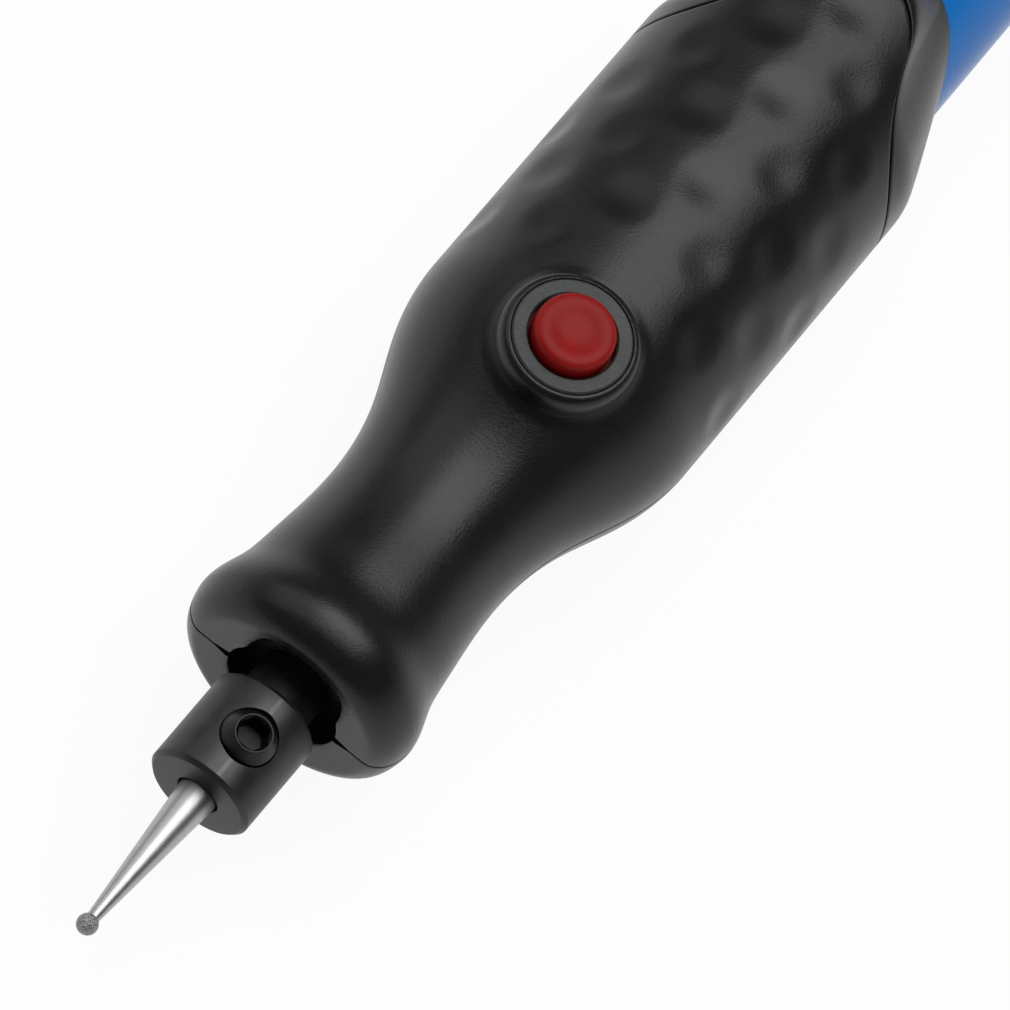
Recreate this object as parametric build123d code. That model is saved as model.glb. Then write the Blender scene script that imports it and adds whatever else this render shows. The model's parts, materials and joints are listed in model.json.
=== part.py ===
from build123d import *
from math import cos, pi, radians, sin, sqrt, tan
import os

# Battery engraving pen. Lengths in millimetres, angles in degrees.
# The pen is laid out along X from the centre of the bur's ball, tip towards -X, button towards +Z.
# Stations are named ..._x, and the finished pieces are moved to stand on the lowest point.

# Shared values
overrun = 1.0
press_clearance = 0.02
running_clearance = 0.03
sliding_clearance = 0.05
seam_gap = 0.06
sheet_thickness = 0.3

# Bur
ball_diameter = 1.45
bur_neck_diameter = 0.9
bur_shank_diameter = 3.0
bur_reach = 11.55
bur_cone_overlap = 1.3
bur_insertion = 6.75
bur_end_chamfer = 0.3

# Chuck and its clamping screw
chuck_diameter = 7.55
chuck_length = 7.55
chuck_edge_chamfer = 0.35
chuck_mouth_width = 0.7
chuck_mouth_depth = 0.6
chuck_hub_diameter = 5.0
chuck_hub_length = 3.3
chuck_turn_angle = 6.5
screw_setback = 3.8
screw_diameter = 3.9
screw_stand_out = 0.75
screw_top_chamfer = 0.65
screw_point_diameter = 2.4
socket_across_flats = 2.0
socket_depth = 1.5

# Motor
shaft_diameter = 2.0
hub_to_bush = 0.5
bush_diameter = 4.0
bush_stand_out = 1.3
motor_diameter = 10.0
motor_can_length = 17.0
motor_wall = 0.5
end_cap_length = 1.8
rear_bush_length = 1.6
magnet_thickness = 0.8
magnet_length = 10.0
magnet_angle = 130.0
air_gap = 0.3
core_length = 8.5
poles = 3
core_setback_share = 0.31
pole_angle = 92.0
core_centre_diameter = 3.4
pole_thickness = 0.8
pole_neck_width = 1.0
winding_overhang = 1.2
commutator_diameter = 2.8
commutator_length = 2.6
commutator_slot = 0.25
commutator_depth = 0.35
brush_width = 1.2
motor_terminal_width = 1.6
motor_terminal_offset = 3.4
motor_terminal_length = 1.2

# Housing outline
nose_gap = 1.4
nose_lip = 2.75
nose_bulge = 4.25
waist_spare = 0.35
nose_length = 2.8
nose_to_waist = 11.2
grip_setback = 3.0
grip_length = 24.9
collar_length = 6.85
collar_depth = 2.6
collar_lip = 0.05
nose_face_angle = 23.0
nose_swell_share = (0.40, 0.76)
waist_fall_shares = [(0.244, 0.45), (0.471, 0.70)]
waist_rise_shares = [(0.394, 0.245), (0.727, 0.770)]

# Housing inside
wall = 1.5
nose_clearance = 0.475
nose_relief_step = 2.15
nose_relief_width = 7.1
nose_relief_depth = 2.2
motor_rib_length = 1.4
motor_rib_setback = 1.6
seat_lead_in = 0.4
pin_diameter = 1.4
pin_depth = 2.2
pin_boss_diameter = 3.4
nose_pin_setback = 2.9
pin_boss_first = 3.5
pin_boss_pitch = 7.0
partition_thickness = 1.0
tube_rib_length = 1.2
tube_rib_pitch = 5.0
tongue_thickness = 1.5

# Rear seam of the upper cover, seen from above
seam_setback = 3.5
tongue_overhang = 0.55
tongue_tip_radius = 5.0
tongue_draft_angle = 24.0
tongue_flank_length = 2.0
saddle_rim = 0.4
saddle_slope_share = (-0.1, 1.28)
saddle_depth = 6.0

# Dimples of the grip
dimple_sphere_radius = 8.0
dimple_depth = 0.4
dimple_pitch = 4.25
dimple_first = 3.5
dimple_step_angle = 18.0
dimple_rings = 7
dimple_steps = 5

# Button, bezel and switch
button_diameter = 5.6
button_stand_out = 1.1
button_dome = 0.55
button_edge_radius = 0.45
button_flange_width = 0.75
button_flange_thickness = 0.8
button_travel = 1.0
button_clearance = 0.15
bezel_width = 1.05
bezel_height = 1.2
bezel_stand_out = 0.2
bezel_edge_chamfer = 0.12
boss_rim = 0.45
boss_stand_out = 0.1
boss_taper_height = 0.9
guide_wall = 1.05
switch_side = 7.0
switch_clearance = 0.3
switch_height = 6.0
switch_floor = -2.4
plunger_diameter = 2.4
plunger_reach = 1.4
plunger_well = 1.0
switch_pin_length = 2.2
switch_pin_width = 0.8
switch_pin_spread = 3.4
rail_width = 1.0
button_spring_wire = 0.36
button_spring_diameter = 5.2
button_spring_turns = 4

# Battery tube and cells
partition_setback = 16.3
tube_wall = 2.25
tube_front_gap = 0.4
tube_edge_radius = 0.3
spigot_depth = 0.2
spigot_margin = 0.3
strip_width = 3.0
strip_tab = 0.35
strip_front_reach = 2.6
cell_diameter = 10.5
cell_play = 0.5
cell_length = 44.5
cell_nub_diameter = 5.5
cell_nub_height = 1.0
cell_edge_radius = 0.5
contact_plate_diameter = 8.0
contact_bump_diameter = 3.0
contact_bump_height = 0.55
contact_tail_height = 3.0
contact_tail_length = 1.6
contact_gap = 0.05

# Tail cap
cap_length = 12.4
cap_end_wall = 2.5
cap_gap = 0.1
cap_end_radius = 1.4
cap_thread_length = 7.2
sleeve_wall = 0.9
sleeve_play = 0.4
sleeve_end_gap = 0.6
o_ring_section = 0.56
o_ring_setback = 1.4
flute_count = 16
flute_radius = 0.9
flute_depth = 0.35
flute_margin = 1.8
tail_spring_wire = 0.6
tail_spring_diameter = 7.0
tail_spring_length = 5.4
tail_spring_turns = 4
disc_thickness = 0.4
disc_play = 0.15

# Leads
lead_diameter = 0.9
lead_bend = 1.2
lead_bend_share = 0.45
lead_side = 4.7
lead_run = 3.0

# Diameters that follow from what each piece holds
chuck_mouth_diameter = bur_shank_diameter + chuck_mouth_width * 2
nose_opening_diameter = chuck_diameter + nose_clearance * 2
nose_relief_diameter = nose_opening_diameter + nose_relief_step * 2
nose_face_diameter = nose_opening_diameter + nose_lip * 2
nose_diameter = nose_opening_diameter + nose_bulge * 2
waist_diameter = motor_diameter + (wall + waist_spare) * 2
tube_bore_diameter = cell_diameter + cell_play * 2
tube_diameter = tube_bore_diameter + tube_wall * 2
spigot_diameter = tube_diameter - spigot_depth * 2
grip_diameter = tube_diameter + collar_depth * 2
sleeve_bore_diameter = cell_diameter + sleeve_play * 2
sleeve_diameter = sleeve_bore_diameter + sleeve_wall * 2
disc_diameter = sleeve_bore_diameter - disc_play * 2
button_flange_diameter = button_diameter + button_flange_width * 2
bezel_diameter = button_diameter + (button_clearance + bezel_width) * 2
boss_top_diameter = bezel_diameter + boss_rim * 2
boss_base_diameter = button_flange_diameter + (button_clearance + guide_wall) * 2

# Stations along the pen
chuck_face_x = bur_reach
chuck_rear_x = chuck_face_x + chuck_length
hub_rear_x = chuck_rear_x + chuck_hub_length
screw_x = chuck_face_x + screw_setback
shank_end_x = chuck_face_x + bur_insertion
nose_face_x = chuck_rear_x + nose_gap
nose_peak_x = nose_face_x + nose_length
waist_x = nose_peak_x + nose_to_waist
bush_front_x = hub_rear_x + hub_to_bush
can_front_x = bush_front_x + bush_stand_out
can_rear_x = can_front_x + motor_can_length
end_cap_rear_x = can_rear_x + end_cap_length
button_x = end_cap_rear_x + motor_terminal_length + switch_clearance + switch_side / 2
grip_front_x = button_x + grip_setback
grip_rear_x = grip_front_x + grip_length
collar_rear_x = grip_rear_x + collar_length
seam_x = grip_rear_x - seam_setback
tongue_tip_x = collar_rear_x + tongue_overhang
switch_front_x = button_x - switch_side / 2
switch_rear_x = button_x + switch_side / 2
partition_front_x = button_x + partition_setback
partition_rear_x = partition_front_x + partition_thickness
tube_front_x = partition_rear_x + tube_front_gap
cells_front_x = partition_rear_x + sheet_thickness + contact_bump_height + contact_gap
cells_rear_x = cells_front_x + cell_length * 2
spring_front_x = cells_rear_x + contact_gap
spring_rear_x = spring_front_x + tail_spring_length
disc_rear_x = spring_rear_x + disc_thickness
cap_floor_x = disc_rear_x + contact_gap
tail_x = cap_floor_x + cap_end_wall
cap_front_x = tail_x - cap_length
tube_rear_x = cap_front_x - cap_gap
thread_front_x = tube_rear_x - cap_thread_length
socket_front_x = grip_rear_x + seat_lead_in

# Radii that several pieces share
grip_radius = grip_diameter / 2
cavity_radius = grip_radius - wall
tube_radius = tube_diameter / 2
spigot_radius = spigot_diameter / 2
tube_bore_radius = tube_bore_diameter / 2
thread_radius = sleeve_diameter / 2
motor_radius = motor_diameter / 2
tongue_floor_radius = grip_radius - tongue_thickness
strip_outer = tube_bore_radius + sheet_thickness + contact_gap * 2
screw_top = chuck_diameter / 2 + screw_stand_out
switch_top = switch_floor + switch_height
boss_top = grip_radius + boss_stand_out
boss_shoulder = boss_top - boss_taper_height
bezel_top = boss_top + bezel_stand_out
bezel_floor = bezel_top - bezel_height
button_top = bezel_top + button_stand_out
flange_top = bezel_floor - sliding_clearance
flange_floor = flange_top - button_flange_thickness
guide_radius = button_flange_diameter / 2 + button_clearance
saddle_above_tube_share = (grip_radius - tube_radius) / saddle_depth
saddle_tip_x = tongue_tip_x + saddle_rim + saddle_depth * sum(saddle_slope_share) * saddle_above_tube_share
spigot_rear_x = saddle_tip_x + spigot_margin

# The finished frame: middle of the length, on the centre line, at the lowest point
tip_x = -ball_diameter / 2
middle_x = (tip_x + tail_x) / 2
to_frame = Pos(-middle_x, 0, grip_radius)


def rod(front_x, rear_x, radius):
    return Pos((front_x + rear_x) / 2, 0, 0) * Rot(0, 90, 0) * Cylinder(radius, rear_x - front_x)


def pipe(front_x, rear_x, outer_radius, inner_radius):
    return rod(front_x, rear_x, outer_radius) - rod(front_x - overrun, rear_x + overrun, inner_radius)


def block(front_x, rear_x, right_y, left_y, low_z, high_z):
    middle = Pos((front_x + rear_x) / 2, (right_y + left_y) / 2, (low_z + high_z) / 2)
    return middle * Box(rear_x - front_x, left_y - right_y, high_z - low_z)


def post(centre_x, centre_y, low_z, high_z, radius):
    return Pos(centre_x, centre_y, (low_z + high_z) / 2) * Cylinder(radius, high_z - low_z)


def turned(points):
    return revolve(make_face(Polyline(*points, close=True)), Axis.X)


def coil(axis_frame, mean_diameter, wire, turns, length):
    """A round-wire spring that fills the length, wound about the frame's Z axis."""
    height = length - wire
    path = Helix(pitch=height / turns, height=height, radius=mean_diameter / 2)
    section = Plane(path @ 0, z_dir=path % 0) * Circle(wire / 2)
    return axis_frame * Pos(0, 0, wire / 2) * sweep(section, path=path)


# Bur
def bur_shank():
    neck = bur_neck_diameter / 2
    shank = bur_shank_diameter / 2
    ball = ball_diameter / 2
    neck_x = sqrt(ball ** 2 - neck ** 2)
    return turned([(neck_x, 0), (neck_x, neck), (ball, neck),
                   (chuck_face_x + bur_cone_overlap, shank), (shank_end_x - bur_end_chamfer, shank),
                   (shank_end_x, shank - bur_end_chamfer), (shank_end_x, 0)])


def bur_ball():
    neck_x = sqrt((ball_diameter / 2) ** 2 - (bur_neck_diameter / 2) ** 2)
    return Sphere(ball_diameter / 2) - rod(neck_x, ball_diameter, ball_diameter)


# Chuck and screw, drawn upright and then turned a little about the shaft
def chuck():
    outer = chuck_diameter / 2
    edge = chuck_edge_chamfer
    hub = chuck_hub_diameter / 2
    mouth = chuck_mouth_diameter / 2
    bore = bur_shank_diameter / 2 + sliding_clearance
    body = turned([(chuck_face_x, 0), (chuck_face_x, outer - edge), (chuck_face_x + edge, outer),
                   (chuck_rear_x - edge, outer), (chuck_rear_x, outer - edge), (chuck_rear_x, hub),
                   (hub_rear_x, hub), (hub_rear_x, 0)])
    body -= rod(chuck_face_x - overrun, shank_end_x + sliding_clearance, bore)
    body -= turned([(chuck_face_x, 0), (chuck_face_x, mouth),
                    (chuck_face_x + chuck_mouth_depth, bore), (chuck_face_x + chuck_mouth_depth, 0)])
    body -= rod(shank_end_x, hub_rear_x + overrun, shaft_diameter / 2)
    body -= post(screw_x, 0, 0, outer + overrun, screw_diameter / 2 + sliding_clearance)
    return Rot(chuck_turn_angle, 0, 0) * body


def chuck_set_screw():
    foot = bur_shank_diameter / 2 + contact_gap
    top = screw_diameter / 2 - screw_top_chamfer
    point = screw_point_diameter / 2
    half = make_face(Polyline((0, foot), (point, foot),
                              (screw_diameter / 2, foot + screw_diameter / 2 - point),
                              (screw_diameter / 2, screw_top - screw_top_chamfer),
                              (top, screw_top), (0, screw_top), close=True))
    screw = revolve(Plane.XZ * half, Axis.Z)
    socket = extrude(RegularPolygon(socket_across_flats / 2, 6, major_radius=False), socket_depth)
    screw -= Pos(0, 0, screw_top - socket_depth) * socket
    return Rot(chuck_turn_angle, 0, 0) * Pos(screw_x, 0, 0) * screw


# Motor
magnet_outer = motor_radius - motor_wall
magnet_inner = magnet_outer - magnet_thickness
core_radius = magnet_inner - air_gap
core_front_x = can_front_x + (motor_can_length - core_length) * core_setback_share
core_rear_x = core_front_x + core_length
commutator_rear_x = can_rear_x - sliding_clearance * 2
commutator_front_x = commutator_rear_x - commutator_length
pole_turns = [pole * 360 / poles for pole in range(poles)]


def sector(front_x, rear_x, outer_radius, inner_radius, arc, turn):
    """A part of a ring round the axis, arc wide, its middle at turn from +Z."""
    reach = outer_radius + overrun
    side_y = reach * sin(radians(arc / 2))
    side_z = reach * cos(radians(arc / 2))
    wedge = make_face(Polyline((0, 0), (side_y, side_z), (side_y, reach), (-side_y, reach),
                               (-side_y, side_z), close=True))
    wedge = Pos(front_x, 0, 0) * extrude(Plane.YZ * wedge, rear_x - front_x)
    return Rot(turn, 0, 0) * (wedge & pipe(front_x, rear_x, outer_radius, inner_radius))


def motor_can():
    can = rod(can_front_x, can_rear_x, motor_radius)
    can -= rod(can_front_x + motor_wall, can_rear_x + overrun, motor_radius - motor_wall)
    return can - rod(can_front_x - overrun, can_front_x + overrun, bush_diameter / 2)


def motor_front_bush():
    return pipe(bush_front_x, can_front_x + motor_wall, bush_diameter / 2,
                shaft_diameter / 2 + running_clearance)


def motor_magnets():
    front_x = (core_front_x + core_rear_x - magnet_length) / 2
    return [sector(front_x, front_x + magnet_length, magnet_outer, magnet_inner, magnet_angle, turn)
            for turn in (90, -90)]


def motor_end_cap():
    cap = rod(can_rear_x, end_cap_rear_x, motor_radius)
    cap -= rod(can_rear_x - overrun, end_cap_rear_x + overrun, bush_diameter / 2)
    for side in (1, -1):
        cap -= motor_terminal_blade(side, can_rear_x - overrun, press_clearance)
    return cap


def motor_rear_bush():
    return pipe(end_cap_rear_x - rear_bush_length, end_cap_rear_x, bush_diameter / 2,
                shaft_diameter / 2 + running_clearance)


def motor_terminal_blade(side, front_x, clearance):
    offset = side * motor_terminal_offset
    thick = sheet_thickness / 2 + clearance
    half_width = motor_terminal_width / 2 + clearance
    return block(front_x, end_cap_rear_x + motor_terminal_length,
                 offset - thick, offset + thick, -half_width, half_width)


def motor_terminals():
    return [motor_terminal_blade(side, can_rear_x, 0) for side in (1, -1)]


def motor_brushes():
    """Two leaf springs that lie against the commutator and run out to the terminals."""
    brushes = []
    for side in (1, -1):
        near = commutator_diameter / 2 + contact_gap
        far = motor_terminal_offset + sheet_thickness / 2
        half = brush_width / 2
        leaf = block(commutator_front_x, can_rear_x, near, near + sheet_thickness, -half, half)
        foot = block(can_rear_x - sheet_thickness, can_rear_x, near, far, -half, half)
        brush = leaf + foot
        if side < 0:
            brush = mirror(brush, Plane.XZ)
        brushes.append(brush)
    return brushes


def motor_shaft():
    return rod(shank_end_x + sliding_clearance * 2, end_cap_rear_x + seat_lead_in, shaft_diameter / 2)


def armature_core():
    core = rod(core_front_x, core_rear_x, core_centre_diameter / 2)
    for turn in pole_turns:
        neck = block(core_front_x, core_rear_x, -pole_neck_width / 2, pole_neck_width / 2,
                     0, core_radius - pole_thickness / 2)
        core += Rot(turn, 0, 0) * neck
        core += sector(core_front_x, core_rear_x, core_radius, core_radius - pole_thickness,
                       pole_angle, turn)
    return core - rod(core_front_x - overrun, core_rear_x + overrun, shaft_diameter / 2)


def armature_windings():
    """One coil round the neck of each pole, with its end turns outside the core."""
    coils = []
    inner = pole_neck_width / 2 + press_clearance
    low = core_centre_diameter / 2 + press_clearance
    high = core_radius - pole_thickness - press_clearance
    reach = core_radius / 3
    for turn in pole_turns:
        outside = block(core_front_x - winding_overhang, core_rear_x + winding_overhang,
                        -reach, reach, low, high)
        window = block(core_front_x - press_clearance, core_rear_x + press_clearance,
                       -inner, inner, low - overrun, high + overrun)
        turned_in = outside & rod(core_front_x - overrun * 2, core_rear_x + overrun * 2, high)
        coils.append(Rot(turn, 0, 0) * (turned_in - window))
    return coils


def commutator():
    outer = commutator_diameter / 2
    drum = pipe(commutator_front_x, commutator_rear_x, outer, shaft_diameter / 2)
    half = commutator_slot / 2
    for turn in pole_turns:
        slot = block(commutator_front_x - overrun, commutator_rear_x + overrun, -half, half,
                     outer - commutator_depth, outer + overrun)
        drum -= Rot(turn + 180 / poles, 0, 0) * slot
    return drum


# Housing
def along(start, end, share):
    """The point that lies the given shares of the way from start to end, in X and in radius."""
    return (start[0] + (end[0] - start[0]) * share[0], start[1] + (end[1] - start[1]) * share[1])


def profile_face(inset, front_x, rear_x):
    """Half section of the housing's turned form, drawn inset by a wall, between two stations."""
    face_rim = (nose_face_x, nose_face_diameter / 2 - inset)
    peak = (nose_peak_x, nose_diameter / 2 - inset)
    waist = (waist_x, waist_diameter / 2 - inset)
    grip_front = (grip_front_x, grip_radius - inset)
    grip_rear = (grip_rear_x, grip_radius - inset)
    collar_rear = (collar_rear_x, tube_radius + collar_lip - inset)
    outline = Line((nose_face_x, 0), face_rim)
    outline += Spline(face_rim, along(face_rim, peak, nose_swell_share), peak,
                      tangents=[(sin(radians(nose_face_angle)), cos(radians(nose_face_angle))), (1, 0)])
    fall = [along(peak, waist, share) for share in waist_fall_shares]
    rise = [along(waist, grip_front, share) for share in waist_rise_shares]
    outline += Spline(peak, *fall, waist, *rise, grip_front, tangents=[(1, 0), (1, 0)])
    outline += Polyline(grip_front, grip_rear, collar_rear, (collar_rear_x, 0), (nose_face_x, 0))
    form = revolve(make_face(outline), Axis.X)
    return form & rod(front_x, rear_x, grip_diameter)


def tongue_face(grow, reach):
    """The upper cover as seen from above, up to its rear seam, grown sideways and reached back."""
    lean = radians(tongue_draft_angle)
    tip_radius = tongue_tip_radius + grow
    tip_x = tongue_tip_x - tongue_tip_radius + reach
    flank = (tip_x + tip_radius * sin(lean), tip_radius * cos(lean))
    flare = (flank[0] - tongue_flank_length * cos(lean), flank[1] + tongue_flank_length * sin(lean))
    side = (seam_x + grow, grip_radius + overrun)
    edges = [ThreePointArc((flank[0], -flank[1]), (tip_x + tip_radius, 0), flank)]
    for way in (1, -1):
        edges.append(Line((flank[0], way * flank[1]), (flare[0], way * flare[1])))
        edges.append(TangentArc((flare[0], way * flare[1]), (side[0], way * side[1]),
                                tangent=(-cos(lean), way * sin(lean))))
    front_x = nose_face_x - overrun
    edges.append(Polyline((side[0], side[1]), (front_x, side[1]), (front_x, -side[1]), (side[0], -side[1])))
    return make_face([edge for item in edges for edge in item.edges()])


def saddle():
    """The collar's raised back behind the tongue, which falls away to the tube."""
    high = Pos(0, 0, grip_radius) * tongue_face(saddle_rim, 0)
    low_grow = saddle_rim + saddle_depth * saddle_slope_share[0]
    low_reach = saddle_depth * saddle_slope_share[1]
    low = Pos(0, 0, grip_radius - saddle_depth) * tongue_face(low_grow, low_reach)
    ramp = loft([high, low], ruled=True)
    return ramp & rod(seam_x, collar_rear_x + tube_diameter, grip_radius)


def cavity():
    """Everything that is hollow inside the two halves together."""
    hollow = profile_face(wall, can_front_x + motor_rib_length, partition_front_x)
    hollow += rod(can_front_x, end_cap_rear_x + seat_lead_in, motor_radius + sliding_clearance)
    hollow += rod(nose_face_x - overrun, can_front_x + seat_lead_in, nose_opening_diameter / 2)
    hollow += rod(partition_front_x - overrun, socket_front_x, cavity_radius)
    hollow += rod(socket_front_x - overrun, tail_x, spigot_radius + sliding_clearance)
    return hollow


def rib_ring(front_x, length, inner_radius):
    ring = pipe(front_x, front_x + length, grip_radius, inner_radius + sliding_clearance)
    return ring & profile_face(wall / 2, front_x - overrun, front_x + length + overrun)


def ribs():
    rings = [rib_ring(can_rear_x - motor_rib_setback - motor_rib_length, motor_rib_length, motor_radius)]
    for row in (1, 2):
        rings.append(rib_ring(partition_rear_x + tube_rib_pitch * row - tube_rib_pitch / 2,
                              tube_rib_length, spigot_radius))
    return rings


def dimple_spots(below):
    """Stations and angles of the dimples that fit on one half of the grip."""
    spots = []
    half_width = sqrt(dimple_depth * dimple_sphere_radius * 2)
    for ring in range(dimple_rings):
        station = grip_front_x + dimple_first + ring * dimple_pitch
        ahead_of_seam = station + half_width < (grip_rear_x if below else seam_x)
        first = ring % 2
        for step in range(first, dimple_steps, 2):
            angle = step * dimple_step_angle
            side_y = grip_radius * sin(radians(angle))
            near_button = station - button_x < boss_base_diameter and angle < dimple_step_angle
            behind = tongue_tip_x - tongue_tip_radius - station
            room = tongue_tip_radius + behind * tan(radians(tongue_draft_angle))
            on_tongue = side_y + half_width / 2 < room and station + half_width < tongue_tip_x
            if ring == 0 and near_button and not below:
                continue
            if ahead_of_seam or (on_tongue and not below):
                spots += [(station, turn) for turn in sorted({angle, -angle})]
    return spots


def dimples(below):
    flip = 180 if below else 0
    lift = grip_radius - dimple_depth + dimple_sphere_radius
    return [Rot(turn + flip, 0, 0) * Pos(station, 0, lift) * Sphere(dimple_sphere_radius)
            for station, turn in dimple_spots(below)]


def nose_pin_spots():
    middle_y = (nose_opening_diameter + nose_diameter) / 4
    return [(nose_face_x + nose_pin_setback, side * middle_y) for side in (1, -1)]


def boss_pin_spots():
    side_y = cavity_radius - pin_boss_diameter / 2 - seat_lead_in
    stations = [grip_front_x + pin_boss_first + row * pin_boss_pitch for row in (0, 1)]
    return [(station, side * side_y) for station in stations for side in (1, -1)]


def pin_bosses(high):
    """Posts inside the grip that carry the joining pins, on the upper or the lower side."""
    posts = []
    for station, side_y in boss_pin_spots():
        low_z = 0 if high else -cavity_radius
        high_z = cavity_radius if high else 0
        posts.append(post(station, side_y, low_z, high_z, pin_boss_diameter / 2))
    inside = rod(grip_front_x, partition_front_x, grip_radius - wall / 2)
    return [piece & inside for piece in posts]


def button_boss():
    frustum = Cone(boss_base_diameter / 2, boss_top_diameter / 2, boss_taper_height)
    return Pos(button_x, 0, boss_top - boss_taper_height / 2) * frustum


def button_guide():
    """The round guide that carries the boss and reaches down to hold the switch in place."""
    return post(button_x, 0, switch_top, boss_shoulder, boss_base_diameter / 2)


def button_hole():
    through = post(button_x, 0, switch_top - overrun, boss_top + overrun, guide_radius)
    seat = post(button_x, 0, bezel_floor, boss_top + overrun, bezel_diameter / 2 + press_clearance)
    return through + seat


def nose_relief():
    cut = rod(nose_face_x - overrun, nose_face_x + nose_relief_depth, nose_relief_diameter / 2)
    half = nose_relief_width / 2
    return cut & block(nose_face_x - overrun, nose_face_x + nose_relief_depth, -half, half, 0, grip_radius)


def housing_form():
    return profile_face(0, nose_face_x - overrun, tail_x) + saddle()


def cover_zone():
    """The space of the upper cover: the upper half as far back as the seam, above the collar's sleeve."""
    zone = extrude(tongue_face(0, 0), grip_diameter)
    return zone - rod(socket_front_x, tail_x, tongue_floor_radius)


def housing_shell():
    shell = housing_form() - cavity()
    for ring in ribs():
        shell += ring
    return shell


def upper_cover(shell, zone):
    cover = shell & zone
    cover += button_boss()
    cover += button_guide()
    for piece in pin_bosses(True):
        cover += piece
    cover -= button_hole()
    cover -= rod(partition_front_x - seat_lead_in, partition_rear_x + press_clearance, cavity_radius)
    cover -= block(nose_face_x - overrun, tail_x, -grip_diameter, grip_diameter, -overrun, seam_gap / 2)
    for station, side_y in nose_pin_spots() + boss_pin_spots():
        cover += post(station, side_y, -pin_depth, overrun, pin_diameter / 2)
    cover -= nose_relief()
    for hollow in dimples(False):
        cover -= hollow
    return cover


def partition():
    disc = rod(partition_front_x, partition_rear_x, cavity_radius - press_clearance * 2)
    lower = rod(partition_front_x, partition_rear_x, grip_radius - wall / 2)
    disc += lower & block(partition_front_x, partition_rear_x, -grip_radius, grip_radius, -grip_radius, 0)
    disc -= block(partition_front_x - overrun, partition_rear_x + overrun, -strip_width / 2 - press_clearance,
                  strip_width / 2 + press_clearance, -strip_outer - press_clearance,
                  -strip_outer + sheet_thickness + press_clearance)
    half = contact_bump_diameter / 4 + press_clearance
    middle = contact_tail_height
    return disc - block(partition_front_x - overrun, partition_rear_x + overrun, -half, half,
                        middle - half, middle + half)


def switch_rails():
    outer = switch_side / 2
    rails = []
    for side in (1, -1):
        near = sorted((side * outer, side * (outer - rail_width)))
        rail = block(switch_front_x + rail_width, switch_rear_x - rail_width, near[0], near[1],
                     -cavity_radius, switch_floor)
        rails.append(rail & profile_face(wall / 2, switch_front_x, switch_rear_x))
    return rails


def lower_body(shell, zone):
    body = shell - zone
    body -= block(nose_face_x - overrun, seam_x, -grip_diameter, grip_diameter, -seam_gap / 2, grip_diameter)
    for piece in pin_bosses(False) + switch_rails():
        body += piece
    body += partition()
    for station, side_y in nose_pin_spots() + boss_pin_spots():
        body -= post(station, side_y, -pin_depth - seat_lead_in, overrun, pin_diameter / 2 + press_clearance)
    for hollow in dimples(True):
        body -= hollow
    return body


# Button, bezel and switch
def button_bezel():
    ring = post(button_x, 0, bezel_floor, bezel_top, bezel_diameter / 2)
    ring -= post(button_x, 0, bezel_floor - overrun, bezel_top + overrun,
                 button_diameter / 2 + button_clearance)
    return chamfer(ring.edges().filter_by(GeomType.CIRCLE).group_by(Axis.Z)[-1], bezel_edge_chamfer)


def button_cap():
    radius = button_diameter / 2
    flange = button_flange_diameter / 2
    shoulder = button_top - button_dome
    outline = Polyline((0, flange_floor), (flange, flange_floor), (flange, flange_top), (radius, flange_top),
                       (radius, shoulder - button_edge_radius))
    outline += ThreePointArc((radius, shoulder - button_edge_radius),
                             (radius - button_edge_radius * (1 - cos(radians(45))),
                              shoulder - button_edge_radius * (1 - sin(radians(45)))),
                             (radius - button_edge_radius, shoulder))
    crown_radius = ((radius - button_edge_radius) ** 2 + button_dome ** 2) / button_dome / 2
    half_chord = (radius - button_edge_radius) / 2
    crown_middle = button_top - crown_radius + sqrt(crown_radius ** 2 - half_chord ** 2)
    outline += ThreePointArc((radius - button_edge_radius, shoulder), (half_chord, crown_middle),
                             (0, button_top))
    outline += Line((0, button_top), (0, flange_floor))
    cap = revolve(Plane.XZ * make_face(outline), Axis.Z)
    return Pos(button_x, 0, 0) * cap


def switch_plunger():
    return post(button_x, 0, switch_top - plunger_reach, flange_floor, plunger_diameter / 2)


def switch_housing():
    half = switch_side / 2
    housing = block(switch_front_x, switch_rear_x, -half, half, switch_floor, switch_top)
    housing = chamfer(housing.edges().filter_by(Axis.Z), sheet_thickness)
    well = switch_top - plunger_reach - button_travel - plunger_well
    return housing - post(button_x, 0, well, switch_top + overrun, plunger_diameter / 2 + sliding_clearance)


def switch_pin_x(end):
    return button_x + end * switch_pin_spread / 2


def switch_pins():
    half = switch_pin_width / 2
    thick = sheet_thickness / 2
    return [block(switch_pin_x(end) - thick, switch_pin_x(end) + thick, -half, half,
                  switch_floor - switch_pin_length, switch_floor) for end in (1, -1)]


def button_spring():
    length = flange_floor - switch_top - press_clearance
    return coil(Pos(button_x, 0, switch_top), button_spring_diameter, button_spring_wire,
                button_spring_turns, length)


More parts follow.
